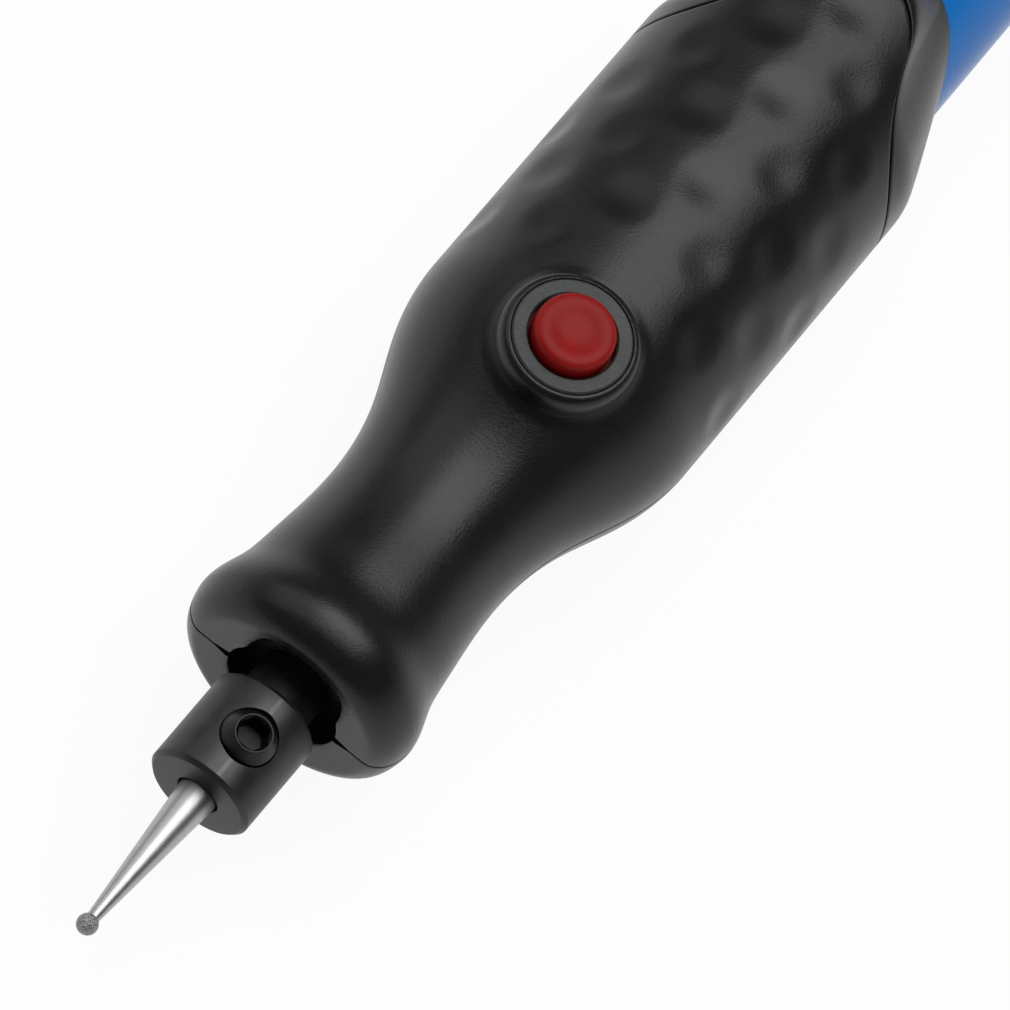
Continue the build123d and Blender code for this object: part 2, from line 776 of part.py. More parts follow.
# Battery tube, cells and contacts
def battery_tube():
    tube = turned([(tube_front_x, 0), (tube_front_x, spigot_radius - tube_edge_radius),
                   (tube_front_x + tube_edge_radius, spigot_radius), (spigot_rear_x, spigot_radius),
                   (spigot_rear_x, tube_radius), (tube_rear_x, tube_radius), (tube_rear_x, 0)])
    rear_edge = tube.edges().filter_by(GeomType.CIRCLE).group_by(Axis.X)[-1]
    tube = fillet(rear_edge, tube_edge_radius)
    tube -= rod(tube_front_x - overrun, tube_rear_x + overrun, tube_bore_radius)
    tube -= rod(thread_front_x, tube_rear_x + overrun, thread_radius + sliding_clearance)
    half = strip_width / 2 + press_clearance
    tube -= block(tube_front_x - overrun, thread_front_x + overrun, -half, half,
                  -strip_outer - press_clearance, 0)
    tab_front_x = thread_front_x - sheet_thickness - press_clearance
    return tube - block(tab_front_x, thread_front_x + overrun, -half, half,
                        -strip_outer - strip_tab - press_clearance, 0)


def return_strip():
    half = strip_width / 2
    strip = block(partition_front_x - strip_front_reach, thread_front_x, -half, half,
                  -strip_outer, -strip_outer + sheet_thickness)
    return strip + block(thread_front_x - sheet_thickness, thread_front_x, -half, half,
                         -strip_outer - strip_tab, -strip_outer + sheet_thickness)


def positive_contact():
    """A plate on the partition with a bump for the cell and a tail through to the lead."""
    plate = rod(partition_rear_x, partition_rear_x + sheet_thickness, contact_plate_diameter / 2)
    bump_x = partition_rear_x + sheet_thickness
    plate += rod(bump_x, bump_x + contact_bump_height, contact_bump_diameter / 2)
    half = contact_bump_diameter / 4
    plate += block(partition_front_x - contact_tail_length, partition_rear_x, -half, half,
                   contact_tail_height - sheet_thickness / 2, contact_tail_height + sheet_thickness / 2)
    return plate


def cell(front_x):
    can_front = front_x + cell_nub_height
    can = rod(can_front, front_x + cell_length, cell_diameter / 2)
    can = fillet(can.edges().filter_by(GeomType.CIRCLE), cell_edge_radius)
    nub = rod(front_x, can_front, cell_nub_diameter / 2)
    return can + nub


# Tail cap, its threaded sleeve, seal and contact
def tail_spring():
    frame = Pos(spring_front_x, 0, 0) * Rot(0, 90, 0)
    return coil(frame, tail_spring_diameter, tail_spring_wire, tail_spring_turns, tail_spring_length)


def tail_contact_disc():
    return rod(spring_rear_x, disc_rear_x, disc_diameter / 2)


def o_ring_x():
    return tube_rear_x - o_ring_setback


def o_ring_radius():
    return thread_radius + sliding_clearance - o_ring_section / 2 - press_clearance


def cap_o_ring():
    return Pos(o_ring_x(), 0, 0) * Rot(0, 90, 0) * Torus(o_ring_radius(), o_ring_section / 2)


def cap_thread_sleeve():
    front = thread_front_x + contact_gap * 2
    sleeve = pipe(front, cap_floor_x - sleeve_end_gap, thread_radius, sleeve_bore_diameter / 2)
    half = o_ring_section / 2 + press_clearance
    return sleeve - pipe(o_ring_x() - half, o_ring_x() + half, thread_radius + overrun,
                         o_ring_radius() - half)


def tail_cap():
    cap = rod(cap_front_x, tail_x, tube_radius)
    cap = fillet(cap.edges().filter_by(GeomType.CIRCLE).group_by(Axis.X)[-1], cap_end_radius)
    cap = fillet(cap.edges().filter_by(GeomType.CIRCLE).group_by(Axis.X)[0], tube_edge_radius)
    cap -= rod(cap_front_x - overrun, cap_floor_x, thread_radius)
    groove_front = cap_front_x + flute_margin
    groove_rear = tail_x - flute_margin
    lift = tube_radius + flute_radius - flute_depth
    for turn in range(flute_count):
        groove = Pos(0, 0, lift) * rod(groove_front, groove_rear, flute_radius)
        cap -= Rot(turn * 360 / flute_count, 0, 0) * groove
    return cap


# Leads, each a tube on straight runs joined by arcs
def lead(points):
    """A lead through the points, its bends limited by the shortest run between them."""
    runs = [(Vector(*end) - Vector(*start)).length for start, end in zip(points, points[1:])]
    path = FilletPolyline(*points, radius=min(lead_bend, min(runs) * lead_bend_share))
    section = Plane(path @ 0, z_dir=path % 0) * Circle(lead_diameter / 2)
    return sweep(section, path=path)


def lead_motor_switch():
    """From the left motor terminal down and across to the front pin of the switch."""
    start_x = end_cap_rear_x + motor_terminal_length / 2
    terminal_low = -motor_terminal_width / 2
    pin_face = switch_pin_x(-1) - sheet_thickness / 2
    depth = switch_floor - switch_pin_length + lead_diameter / 2
    return lead([(start_x, motor_terminal_offset, terminal_low), (start_x, motor_terminal_offset, depth),
                 (start_x, 0, depth), (pin_face, 0, depth)])


def lead_switch_battery():
    """From the rear pin of the switch back and up to the tail of the positive contact."""
    pin_face = switch_pin_x(1) + sheet_thickness / 2
    depth = switch_floor - switch_pin_length + lead_diameter / 2
    tail_end = partition_front_x - contact_tail_length
    turn_x = tail_end - lead_run
    return lead([(pin_face, 0, depth), (turn_x, 0, depth), (turn_x, 0, contact_tail_height),
                 (tail_end, 0, contact_tail_height)])


def lead_return_motor():
    """From the front end of the return strip forward along the right wall to the other terminal."""
    strip_end = partition_front_x - strip_front_reach
    strip_middle = -strip_outer + sheet_thickness / 2
    turn_x = strip_end - lead_run
    start_x = end_cap_rear_x + motor_terminal_length / 2
    terminal_low = -motor_terminal_width / 2
    low = terminal_low - lead_run
    return lead([(strip_end, 0, strip_middle), (turn_x, 0, strip_middle), (turn_x, -lead_side, low),
                 (start_x, -lead_side, low), (start_x, -lead_side, terminal_low)])


def pieces():
    """Every named piece of the pen, drawn on its own axis."""
    shell = housing_shell()
    zone = cover_zone()
    named = {
        "upper_cover": upper_cover(shell, zone),
        "lower_body": lower_body(shell, zone),
        "button_bezel": button_bezel(),
        "motor_can": motor_can(),
        "motor_front_bush": motor_front_bush(),
        "motor_magnets": motor_magnets(),
        "motor_end_cap": motor_end_cap(),
        "motor_rear_bush": motor_rear_bush(),
        "motor_brushes": motor_brushes(),
        "motor_terminals": motor_terminals(),
        "switch_housing": switch_housing(),
        "switch_pins": switch_pins(),
        "button_spring": button_spring(),
        "battery_tube": battery_tube(),
        "return_strip": return_strip(),
        "positive_contact": positive_contact(),
        "lead_motor_switch": lead_motor_switch(),
        "lead_switch_battery": lead_switch_battery(),
        "lead_return_motor": lead_return_motor(),
        "motor_shaft": motor_shaft(),
        "armature_core": armature_core(),
        "armature_windings": armature_windings(),
        "commutator": commutator(),
        "chuck": chuck(),
        "chuck_set_screw": chuck_set_screw(),
        "bur_shank": bur_shank(),
        "bur_ball": bur_ball(),
        "button_cap": button_cap(),
        "switch_plunger": switch_plunger(),
        "cell_front": cell(cells_front_x),
        "cell_rear": cell(cells_front_x + cell_length),
        "tail_spring": tail_spring(),
        "tail_contact_disc": tail_contact_disc(),
        "cap_thread_sleeve": cap_thread_sleeve(),
        "cap_o_ring": cap_o_ring(),
        "tail_cap": tail_cap(),
    }
    return named


os.makedirs("parts", exist_ok=True)
for name, piece in pieces().items():
    solids = piece if isinstance(piece, list) else [piece]
    placed = [solid for item in solids for solid in (to_frame * item).solids()]
    shape = placed[0] if len(placed) == 1 else Compound(children=placed)
    export_step(shape, "parts/" + name + ".step")
print("length", round(tail_x - tip_x, 3), "axis height", grip_radius)
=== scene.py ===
import json
from math import acos, cos, pi, radians, sin, sqrt, tan

import bmesh
import bpy
import numpy as np
from mathutils import Matrix, Vector


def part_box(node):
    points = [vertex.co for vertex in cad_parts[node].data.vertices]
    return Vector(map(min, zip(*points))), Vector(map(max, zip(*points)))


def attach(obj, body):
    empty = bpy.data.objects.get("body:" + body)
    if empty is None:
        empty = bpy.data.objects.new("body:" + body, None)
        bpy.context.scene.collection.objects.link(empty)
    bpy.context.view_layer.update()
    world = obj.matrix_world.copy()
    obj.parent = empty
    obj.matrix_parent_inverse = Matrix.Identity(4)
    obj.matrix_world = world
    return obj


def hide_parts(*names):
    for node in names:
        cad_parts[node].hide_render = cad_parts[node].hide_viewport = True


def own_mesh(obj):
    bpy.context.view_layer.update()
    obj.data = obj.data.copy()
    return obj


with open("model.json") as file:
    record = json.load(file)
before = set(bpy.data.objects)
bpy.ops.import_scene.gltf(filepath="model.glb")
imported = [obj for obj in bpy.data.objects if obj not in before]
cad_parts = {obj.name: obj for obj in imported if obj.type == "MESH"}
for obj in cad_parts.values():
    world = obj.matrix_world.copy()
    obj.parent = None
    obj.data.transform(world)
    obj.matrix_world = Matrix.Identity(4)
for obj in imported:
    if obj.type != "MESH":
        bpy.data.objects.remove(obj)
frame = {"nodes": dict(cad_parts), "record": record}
bpy.context.scene.view_settings.view_transform = "Standard"
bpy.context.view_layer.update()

# The pen's lengths in this script are millimetres from the ball's centre along its axis, as in the solids.
# Angles round the axis are measured from the button's side, +Z, towards +Y.
MM = 0.001


def low(node):
    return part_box(node)[0] / MM


def high(node):
    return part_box(node)[1] / MM


ball_radius = 0.725
ball_x = low("bur_ball").x + ball_radius
axis_z = (low("battery_tube").z + high("battery_tube").z) / 2


def row(points):
    """Points in millimetres from the ball's centre, as metres in the row frame."""
    return (np.asarray(points, float) + (ball_x, 0, axis_z)) * MM


# Sizes taken from the solids
grip_radius = axis_z - low("lower_body").z
tube_radius = (high("battery_tube").z - low("battery_tube").z) / 2
chuck_radius = (high("chuck").y - low("chuck").y) / 2
sleeve_radius = (high("cap_thread_sleeve").y - low("cap_thread_sleeve").y) / 2

# Stations along the pen, from the solids
nose_x = low("upper_cover").x - ball_x
chuck_front_x = low("chuck").x - ball_x
hub_rear_x = high("chuck").x - ball_x
bezel_middle_x = (low("button_bezel").x + high("button_bezel").x) / 2 - ball_x
tongue_tip_x = high("upper_cover").x - ball_x
tube_front_x = low("battery_tube").x - ball_x
tube_rear_x = high("battery_tube").x - ball_x
sleeve_x = low("cap_thread_sleeve").x - ball_x
sleeve_end_x = high("cap_thread_sleeve").x - ball_x
ring_x = (low("cap_o_ring").x + high("cap_o_ring").x) / 2 - ball_x

# Heights above the axis, from the solids
bezel_top = high("button_bezel").z - axis_z
button_top = high("button_cap").z - axis_z
cap_floor = low("button_cap").z - axis_z
switch_top = high("switch_housing").z - axis_z
spring_low = low("button_spring").z - axis_z
spring_high = high("button_spring").z - axis_z

# Chuck, its screw and the bur's shank: the screw leans a few degrees about the pen's axis
chuck_length = 7.55
chuck_lean = 6.5
chuck_rear_x = chuck_front_x + chuck_length
screw_x = chuck_front_x + 3.8
screw_radius = 1.95
shank_radius = 1.5
shank_end_x = chuck_front_x + 6.75

# The housing's outline: the points that the spline passes through, as stations and radii
face_radius = 6.5
nose_peak = (nose_x + 2.7, 8.53)
nose_curve = [(nose_x, face_radius), (nose_x + 0.05, 6.98), (nose_x + 0.25, 7.39), (nose_x + 0.52, 7.73),
              (nose_x + 1.15, 8.17), (nose_x + 1.9, 8.42), nose_peak]
waist = (34.5, 6.85)
grip_front_x = 51.0
grip_rear_x = 75.9
waist_curve = [nose_peak, (26.03, 7.8), (28.58, 7.38), waist, (41.0, 7.8), (46.5, 9.88),
               (grip_front_x, grip_radius)]
collar_end_x = 82.75
collar_end_radius = tube_radius + 0.06

# The nose's opening, wider above the chuck's screw
opening_radius = 4.25
relief_radius = 6.4
relief_half_width = 3.7
relief_lean = radians(-4)
relief_depth = 2.2
nose_rim = 0.15
bore_stations = (24.2, 23.0)

# The inside: the wall of the grip, the motor's seat and the rear
wall = 1.5
motor_seat_radius = 5.05
motor_seat_front_x = 24.25
motor_seat_rear_x = 25.8
rear_bore_radius = 9.1

# The parting line, and the gap between the cover's tongue and the collar
seam_gap = 0.05
seam_round = 0.12
rear_gap = 0.16
seam_front_x = 72.4

# Camera, floor and light: places and sizes here are metres, and a softbox has a place, two sides and watts
view_towards = (-0.4446, -0.0547, 0.8940)
view_tilt = radians(49.73)
view_distance = 0.634
view_lens = 351.4
aim_x = -0.0403175
aim_aside = 0.00298
softbox_aim = (-0.04, 0, 0.01)
softboxes = {"overhead_softbox": ((0.134, -0.06, 0.51), (0.44, 0.43), 1.97),
             "left_softbox": ((0.05, 0.31, 0.45), (0.6, 0.42), 0.78)}
sweep_heights = (0.08, 0.3)
sweep_ends = (0.45, 0.9)
sweep_end_share = 0.15
sweep_glow = 0.8
ceiling_glow = 0.06
ambient_glow = 0.35
floor_glow = 0.93
mirrored_floor_glow = 0.7
floor_grey = 0.86
floor_side = 4
white = (1, 1, 1, 1)
seen_rays = ("Is Camera Ray", "Is Transmission Ray")


def placed(name, data):
    """A new object in the scene."""
    item = bpy.data.objects.new(name, data)
    bpy.context.scene.collection.objects.link(item)
    return item


def camera():
    """The photo's view: towards points from the pen to the camera, and tilt turns the pen in the picture."""
    towards = Vector(view_towards).normalized()
    along_pen = (Vector((1, 0, 0)) - towards * towards.x).normalized()
    across = along_pen.cross(towards)
    right = along_pen * cos(view_tilt) + across * sin(view_tilt)
    up = along_pen * sin(view_tilt) - across * cos(view_tilt)
    aim = Vector((aim_x, 0, axis_z * MM)) + across * aim_aside
    data = bpy.data.cameras.new("camera")
    data.lens = view_lens
    data.sensor_width = 36
    data.clip_start = 0.05
    data.clip_end = 20
    item = placed("camera", data)
    turn = Matrix((right, up, towards)).transposed().to_4x4()
    item.matrix_world = Matrix.Translation(aim + towards * view_distance) @ turn
    bpy.context.scene.camera = item


def area_light(name, spot, sides, power):
    """A softbox facing the pen: its first side lies across the pen, the other along it."""
    data = bpy.data.lights.new(name, "AREA")
    data.shape = "RECTANGLE"
    data.size, data.size_y = sides
    data.energy = power
    item = placed(name, data)
    item.location = spot
    back = (Vector(spot) - Vector(softbox_aim)).normalized()
    side = (Vector((0, 1, 0)) - back * back.y).normalized()
    item.rotation_euler = Matrix((side, back.cross(side), back)).transposed().to_euler()


def empty_tree(owner):
    """The cleared node tree of a world or material."""
    owner.use_nodes = True
    owner.node_tree.nodes.clear()
    return owner.node_tree


def new_node(tree, kind, **plain):
    """A shader node with plain values in its inputs."""
    node = tree.nodes.new("ShaderNode" + kind)
    for socket, value in plain.items():
        node.inputs[socket].default_value = value
    return node


def calculated(tree, operation, *values):
    """A value worked out from others, each a socket or a number."""
    node = new_node(tree, "Math")
    node.operation = operation
    for socket, value in zip(node.inputs, values):
        if isinstance(value, (int, float)):
            socket.default_value = value
        else:
            tree.links.new(value, socket)
    return node.outputs[0]


def ranged(tree, value, low_in, high_in, low_out, high_out):
    """A value moved from one range to another, and held at both ends."""
    node = new_node(tree, "MapRange")
    for slot, number in zip((1, 2, 3, 4), (low_in, high_in, low_out, high_out)):
        node.inputs[slot].default_value = number
    tree.links.new(value, node.inputs[0])
    return node.outputs[0]


def mixed_shaders(tree, share, first, second):
    node = new_node(tree, "MixShader")
    for socket, part in zip(node.inputs, (share, first.outputs[0], second.outputs[0])):
        tree.links.new(part, socket)
    return node


def white_where_seen(tree, shade, kind, rays, share=1.0):
    """Mixes a share of plain white glow over a shader for the named kinds of rays."""
    path = new_node(tree, "LightPath")
    glow = new_node(tree, kind, Color=white, Strength=1)
    seen = path.outputs[rays[0]]
    for ray in rays[1:]:
        seen = calculated(tree, "MAXIMUM", seen, path.outputs[ray])
    return mixed_shaders(tree, calculated(tree, "MULTIPLY", seen, share), shade, glow)


def studio():
    """A sweep that is white at the pen's sides and dark at its ends, a dim ceiling and two softboxes."""
    world = bpy.data.worlds.new("studio")
    bpy.context.scene.world = world
    tree = empty_tree(world)
    place = new_node(tree, "TexCoord")
    split = new_node(tree, "SeparateXYZ")
    tree.links.new(place.outputs["Generated"], split.inputs[0])
    height = ranged(tree, split.outputs["Z"], *sweep_heights, 1.0, 0.0)
    along = calculated(tree, "ABSOLUTE", split.outputs["X"])
    ends = ranged(tree, along, *sweep_ends, 1.0, sweep_end_share)
    share = calculated(tree, "MULTIPLY", height, ends)
    ceiling = new_node(tree, "Background", Color=white, Strength=ceiling_glow)
    sweep = new_node(tree, "Background", Color=white, Strength=sweep_glow)
    mirrored = mixed_shaders(tree, share, ceiling, sweep)
    path = new_node(tree, "LightPath")
    ambient = new_node(tree, "Background", Color=white, Strength=ambient_glow)
    mix = mixed_shaders(tree, path.outputs["Is Glossy Ray"], ambient, mirrored)
    mix = white_where_seen(tree, mix, "Background", seen_rays)
    out = new_node(tree, "OutputWorld")
    tree.links.new(mix.outputs[0], out.inputs["Surface"])
    for name, light in softboxes.items():
        area_light(name, *light)


def floor():
    """A pale floor: seen, most of it is plain white glow, and the rest keeps the pen's shadow."""
    bpy.ops.mesh.primitive_plane_add(size=floor_side, location=(0, 0, 0))
    item = bpy.context.object
    item.name = "floor"
    shade = bpy.data.materials.new("pale_floor")
    tree = empty_tree(shade)
    matt = new_node(tree, "BsdfDiffuse", Color=(floor_grey, floor_grey, floor_grey, 1))
    mix = white_where_seen(tree, matt, "Emission", ["Is Glossy Ray"], mirrored_floor_glow)
    mix = white_where_seen(tree, mix, "Emission", seen_rays, floor_glow)
    out = new_node(tree, "OutputMaterial")
    tree.links.new(mix.outputs[0], out.inputs["Surface"])
    item.data.materials.append(shade)


camera()
studio()
floor()


# Materials: one for each slot of the record
shades = {}
wave_width = 6.283
noise_low = 0.3
noise_high = 0.7


class Shade:
    """A small builder for one procedural material. Sizes are in millimetres."""

    def __init__(self, name):
        shades[name] = bpy.data.materials.new(name)
        self.tree = empty_tree(shades[name])
        out = new_node(self.tree, "OutputMaterial")
        self.shader = new_node(self.tree, "BsdfPrincipled")
        self.link(self.shader.outputs[0], out.inputs["Surface"])
        self.place = new_node(self.tree, "TexCoord").outputs["Object"]
        self.normal = None

    def link(self, value, socket):
        self.tree.links.new(value, socket)

    def texture(self, kind, size, **plain):
        node = new_node(self.tree, kind, Scale=1 / (size * MM), **plain)
        self.link(self.place, node.inputs["Vector"])
        return node

    def noise(self, size, detail=3, roughness=0.55, stretch=None):
        node = self.texture("TexNoise", size, Detail=detail, Roughness=roughness)
        if stretch:
            mapping = new_node(self.tree, "Mapping", Scale=stretch)
            self.link(self.place, mapping.inputs["Vector"])
            self.link(mapping.outputs[0], node.inputs["Vector"])
        return node.outputs[0]

    def cells(self, size):
        """Distance from the nearest of many grains of this size."""
        return self.texture("TexVoronoi", size).outputs["Distance"]

    def bands(self, size, distortion=0):
        """Light and dark stripes by turns along the pen, each about this wide."""
        node = self.texture("TexWave", size * wave_width, Distortion=distortion)
        node.bands_direction = "X"
        return node.outputs[1]

    def ramp(self, value, stops):
        """Maps a value to colours given as (place, colour) stops."""
        node = new_node(self.tree, "ValToRGB")
        while len(node.color_ramp.elements) < len(stops):
            node.color_ramp.elements.new(0.5)
        for element, (spot, colour) in zip(node.color_ramp.elements, stops):
            element.position = spot
            element.color = (*colour, 1)
        self.link(value, node.inputs[0])
        return node.outputs[0]

    def span(self, value, *ends):
        return ranged(self.tree, value, *ends)

    def math(self, operation, *values):
        return calculated(self.tree, operation, *values)

    def toned(self, value, first, second):
        """Changes from one plain colour to another over the middle of a noise's range."""
        return self.ramp(value, [(noise_low, first), (noise_high, second)])

    def colour(self, value, first, second):
        self.drive("Base Color", self.toned(value, first, second))

    def gloss(self, value, first, second):
        """Roughness that changes over the middle of a noise's range."""
        self.drive("Roughness", self.span(value, noise_low, noise_high, first, second))

    def mixed(self, share, first, second):
        """A colour that changes from the first, a socket, to the second, a plain colour."""
        node = new_node(self.tree, "Mix")
        node.data_type = "RGBA"
        self.link(share, node.inputs["Factor"])
        self.link(first, node.inputs[6])
        node.inputs[7].default_value = (*second, 1)
        return node.outputs[2]

    def bump(self, height, depth):
        """Adds relief: height is a value from 0 to 1, depth the millimetres from lowest to highest."""
        node = new_node(self.tree, "Bump", Strength=1, Distance=depth * MM)
        self.link(height, node.inputs["Height"])
        if self.normal:
            self.link(self.normal, node.inputs["Normal"])
        self.normal = node.outputs[0]

    def drive(self, socket, value):
        self.link(value, self.shader.inputs[socket])

    def done(self, **plain):
        for socket, value in plain.items():
            self.shader.inputs[socket.replace("_", " ")].default_value = value
        self.link(self.normal, self.shader.inputs["Normal"])


def tint(colour, factor):
    return tuple(part * factor for part in colour)


def moulded(name, colour, roughness, grain=0.12, depth=0.004, mottle=2.5, share=0.12):
    """Moulded plastic: fine even grain, faint cloudiness and slightly uneven gloss."""
    s = Shade(name)
    cloud = s.noise(mottle, 4)
    fine = s.noise(grain, 2, 0.6)
    s.colour(cloud, tint(colour, 1 - share), tint(colour, 1 + share))
    s.gloss(cloud, roughness * 0.9, roughness * 1.12)
    s.bump(fine, depth)
    s.done()


def turned_metal(name, colour, roughness, mark=0.05, depth=0.002, share=0.1, stretch=(1, 0.03, 0.03)):
    """Turned or drawn metal: fine marks round the axis, with slight stains and wear."""
    s = Shade(name)
    marks = s.noise(mark, 3, 0.6, stretch)
    stain = s.noise(1.4, 4, 0.6)
    s.colour(stain, tint(colour, 1 - share), tint(colour, 1 + share))
    s.gloss(stain, roughness * 0.8, roughness * 1.25)
    s.bump(marks, depth)
    s.done(Metallic=1)


def black_housing():
    s = Shade("black_housing")
    cloud = s.noise(3.5, 3)
    grain = s.noise(0.15, 2, 0.6)
    speck = s.noise(0.07, 1, 0.5)
    s.colour(cloud, (0.0068, 0.0069, 0.0071), (0.0088, 0.0089, 0.0092))
    s.gloss(cloud, 0.23, 0.29)
    s.bump(grain, 0.019)
    s.bump(speck, 0.008)
    s.done(Specular_IOR_Level=0.33)


def black_oxide():
    """Blackened steel, with a painted highlight: a brighter strip along the top, on the line through the
    screw hole.
    """
    # Half widths of the painted highlight's strip: full within the first, gone beyond the second
    highlight_core, highlight_edge = 0.08, 0.22
    s = Shade("black_oxide_steel")
    marks = s.noise(0.06, 3, 0.6, (1, 0.04, 0.04))
    stain = s.noise(1.1, 4, 0.55)
    dark = s.toned(stain, (0.043, 0.043, 0.044), (0.06, 0.06, 0.061))
    split = new_node(s.tree, "SeparateXYZ")
    s.link(s.place, split.inputs[0])
    lean_cos, lean_sin = cos(radians(chuck_lean)), sin(radians(chuck_lean))
    height = s.math("SUBTRACT", split.outputs["Z"], axis_z * MM)
    aside = s.math("MULTIPLY_ADD", split.outputs["Y"], lean_cos, s.math("MULTIPLY", height, lean_sin))
    up = s.math("MULTIPLY_ADD", split.outputs["Y"], -lean_sin, s.math("MULTIPLY", height, lean_cos))
    # The painted highlight: a strip either side of the line through the screw, kept to the chuck's top
    line = s.span(s.math("ABSOLUTE", aside), highlight_core * MM, highlight_edge * MM, 1, 0)
    crest = s.span(up, (chuck_radius - 0.05) * MM, (chuck_radius - 0.02) * MM, 0, 1)
    # Mixes the painted highlight's pale grey into the steel's colour
    s.drive("Base Color", s.mixed(s.math("MULTIPLY", line, crest), dark, (0.088, 0.086, 0.084)))
    s.gloss(stain, 0.38, 0.44)
    s.bump(marks, 0.003)
    s.done(Metallic=0.85)


def diamond_grit():
    s = Shade("diamond_grit")
    grains = s.cells(0.085)
    fine = s.noise(0.05, 2, 0.6)
    stops = [(0.0, (0.62, 0.62, 0.63)), (0.5, (0.3, 0.3, 0.31)), (0.9, (0.12, 0.12, 0.125))]
    s.drive("Base Color", s.ramp(grains, stops))
    s.gloss(fine, 0.28, 0.6)
    s.bump(s.span(grains, 0, 0.8, 1, 0), 0.035)
    s.bump(fine, 0.008)
    s.done(Metallic=0.75)


def chrome_shank():
    s = Shade("polished_steel")
    marks = s.noise(0.3, 2, 0.5, (0.05, 1, 1))
    stain = s.noise(0.9, 3)
    s.colour(stain, (0.42, 0.42, 0.425), (0.48, 0.48, 0.485))
    s.gloss(stain, 0.36, 0.4)
    s.bump(marks, 0.001)
    s.done(Metallic=1)


def red_button():
    s = Shade("red_button")
    cloud = s.noise(1.6, 4, 0.6)
    fine = s.noise(0.12, 2, 0.6)
    s.colour(cloud, (0.2, 0.003, 0.0015), (0.25, 0.004, 0.002))
    s.gloss(cloud, 0.42, 0.5)
    s.bump(fine, 0.008)
    s.done(Specular_IOR_Level=0.17)


def blue_barrel():
    s = Shade("blue_barrel")
    cloud = s.noise(9, 3)
    fine = s.noise(0.3, 2, 0.5, (0.3, 1, 1))
    s.colour(cloud, (0.006, 0.130, 0.43), (0.008, 0.150, 0.47))
    s.gloss(fine, 0.2, 0.25)
    s.bump(fine, 0.0008)
    s.done(Specular_IOR_Level=0.2)


def windings():
    """Enamelled wire laid side by side."""
    s = Shade("copper_wire")
    turns = s.bands(0.16, 1.2)
    copper = (0.6, 0.27, 0.14)
    s.drive("Base Color", s.ramp(turns, [(0.1, tint(copper, 0.55)), (0.7, copper)]))
    s.drive("Roughness", s.span(turns, 0, 1, 0.5, 0.25))
    s.bump(turns, 0.06)
    s.done(Metallic=0.9)


def laminations():
    s = Shade("core_iron")
    sheets = s.bands(0.5)
    s.drive("Base Color", s.ramp(sheets, [(0.05, (0.08, 0.08, 0.08)), (0.3, (0.3, 0.3, 0.31))]))
    s.gloss(s.noise(0.4), 0.35, 0.55)
    s.bump(sheets, 0.04)
    s.done(Metallic=0.9)


black_housing()
moulded("bezel_grey", (0.021, 0.024, 0.0235), 0.5, grain=0.28, depth=0.05, share=0.16)
turned_metal("motor_steel", (0.55, 0.56, 0.57), 0.3)
turned_metal("bronze", (0.62, 0.42, 0.22), 0.42, mark=0.12, depth=0.01, stretch=(1, 1, 1))
moulded("ferrite", (0.06, 0.06, 0.065), 0.75, grain=0.2, depth=0.02, share=0.25)
moulded("motor_plastic", (0.55, 0.53, 0.47), 0.5, depth=0.006)
turned_metal("contact_steel", (0.72, 0.71, 0.67), 0.28, stretch=(0.03, 1, 1))
moulded("switch_black", (0.05, 0.05, 0.055), 0.55, depth=0.008)
turned_metal("spring_steel", (0.62, 0.62, 0.62), 0.26, mark=0.08, stretch=(1, 1, 1))
blue_barrel()
moulded("red_lead", (0.45, 0.03, 0.02), 0.45, grain=0.3, depth=0.006)
moulded("black_lead", (0.02, 0.02, 0.02), 0.45, grain=0.3, depth=0.006)
turned_metal("shaft_steel", (0.6, 0.6, 0.61), 0.22)
laminations()
windings()
black_oxide()
turned_metal("screw_steel", (0.03, 0.03, 0.031), 0.42, mark=0.08, depth=0.003, share=0.3)
chrome_shank()
diamond_grit()
red_button()
moulded("white_plastic", (0.75, 0.74, 0.7), 0.45)
moulded("cell_jacket", (0.12, 0.125, 0.13), 0.32, grain=0.4, depth=0.006, mottle=6)
turned_metal("nickel_brass", (0.7, 0.62, 0.42), 0.27)
moulded("seal_rubber", (0.015, 0.015, 0.015), 0.6, grain=0.1, depth=0.008)

# The solids' own finishes
node_slot = {part["node"]: part["material_slot"] for part in frame["record"]["subparts"]}
for node, item in frame["nodes"].items():
    item.data.materials.clear()
    item.data.materials.append(shades[node_slot[node]])


# Meshes
merge_reach = 0.003
sliver_reach = 0.001


def built(name, points, faces, merged=False):
    """A mesh from millimetre points, with its faces turned outwards."""
    mesh = bpy.data.meshes.new(name)
    mesh.from_pydata([tuple(spot) for spot in row(points)], [], [tuple(face) for face in faces])
    item = placed(name, mesh)
    work = bmesh.new()
    work.from_mesh(mesh)
    if merged:
        bmesh.ops.remove_doubles(work, verts=work.verts, dist=sliver_reach * MM)
    bmesh.ops.recalc_face_normals(work, faces=work.faces)
    work.to_mesh(mesh)
    work.free()
    return item


def mesh_object(name, points, faces, body, node):
    """A piece that rides on a body in place of a node, with the finish of the node's slot."""
    item = built(name, points, faces)
    slot = node_slot[node]
    item.data.polygons.foreach_set("use_smooth", [True] * len(item.data.polygons))
    item.data.materials.append(shades[slot])
    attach(item, body)
    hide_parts(node)
    return item


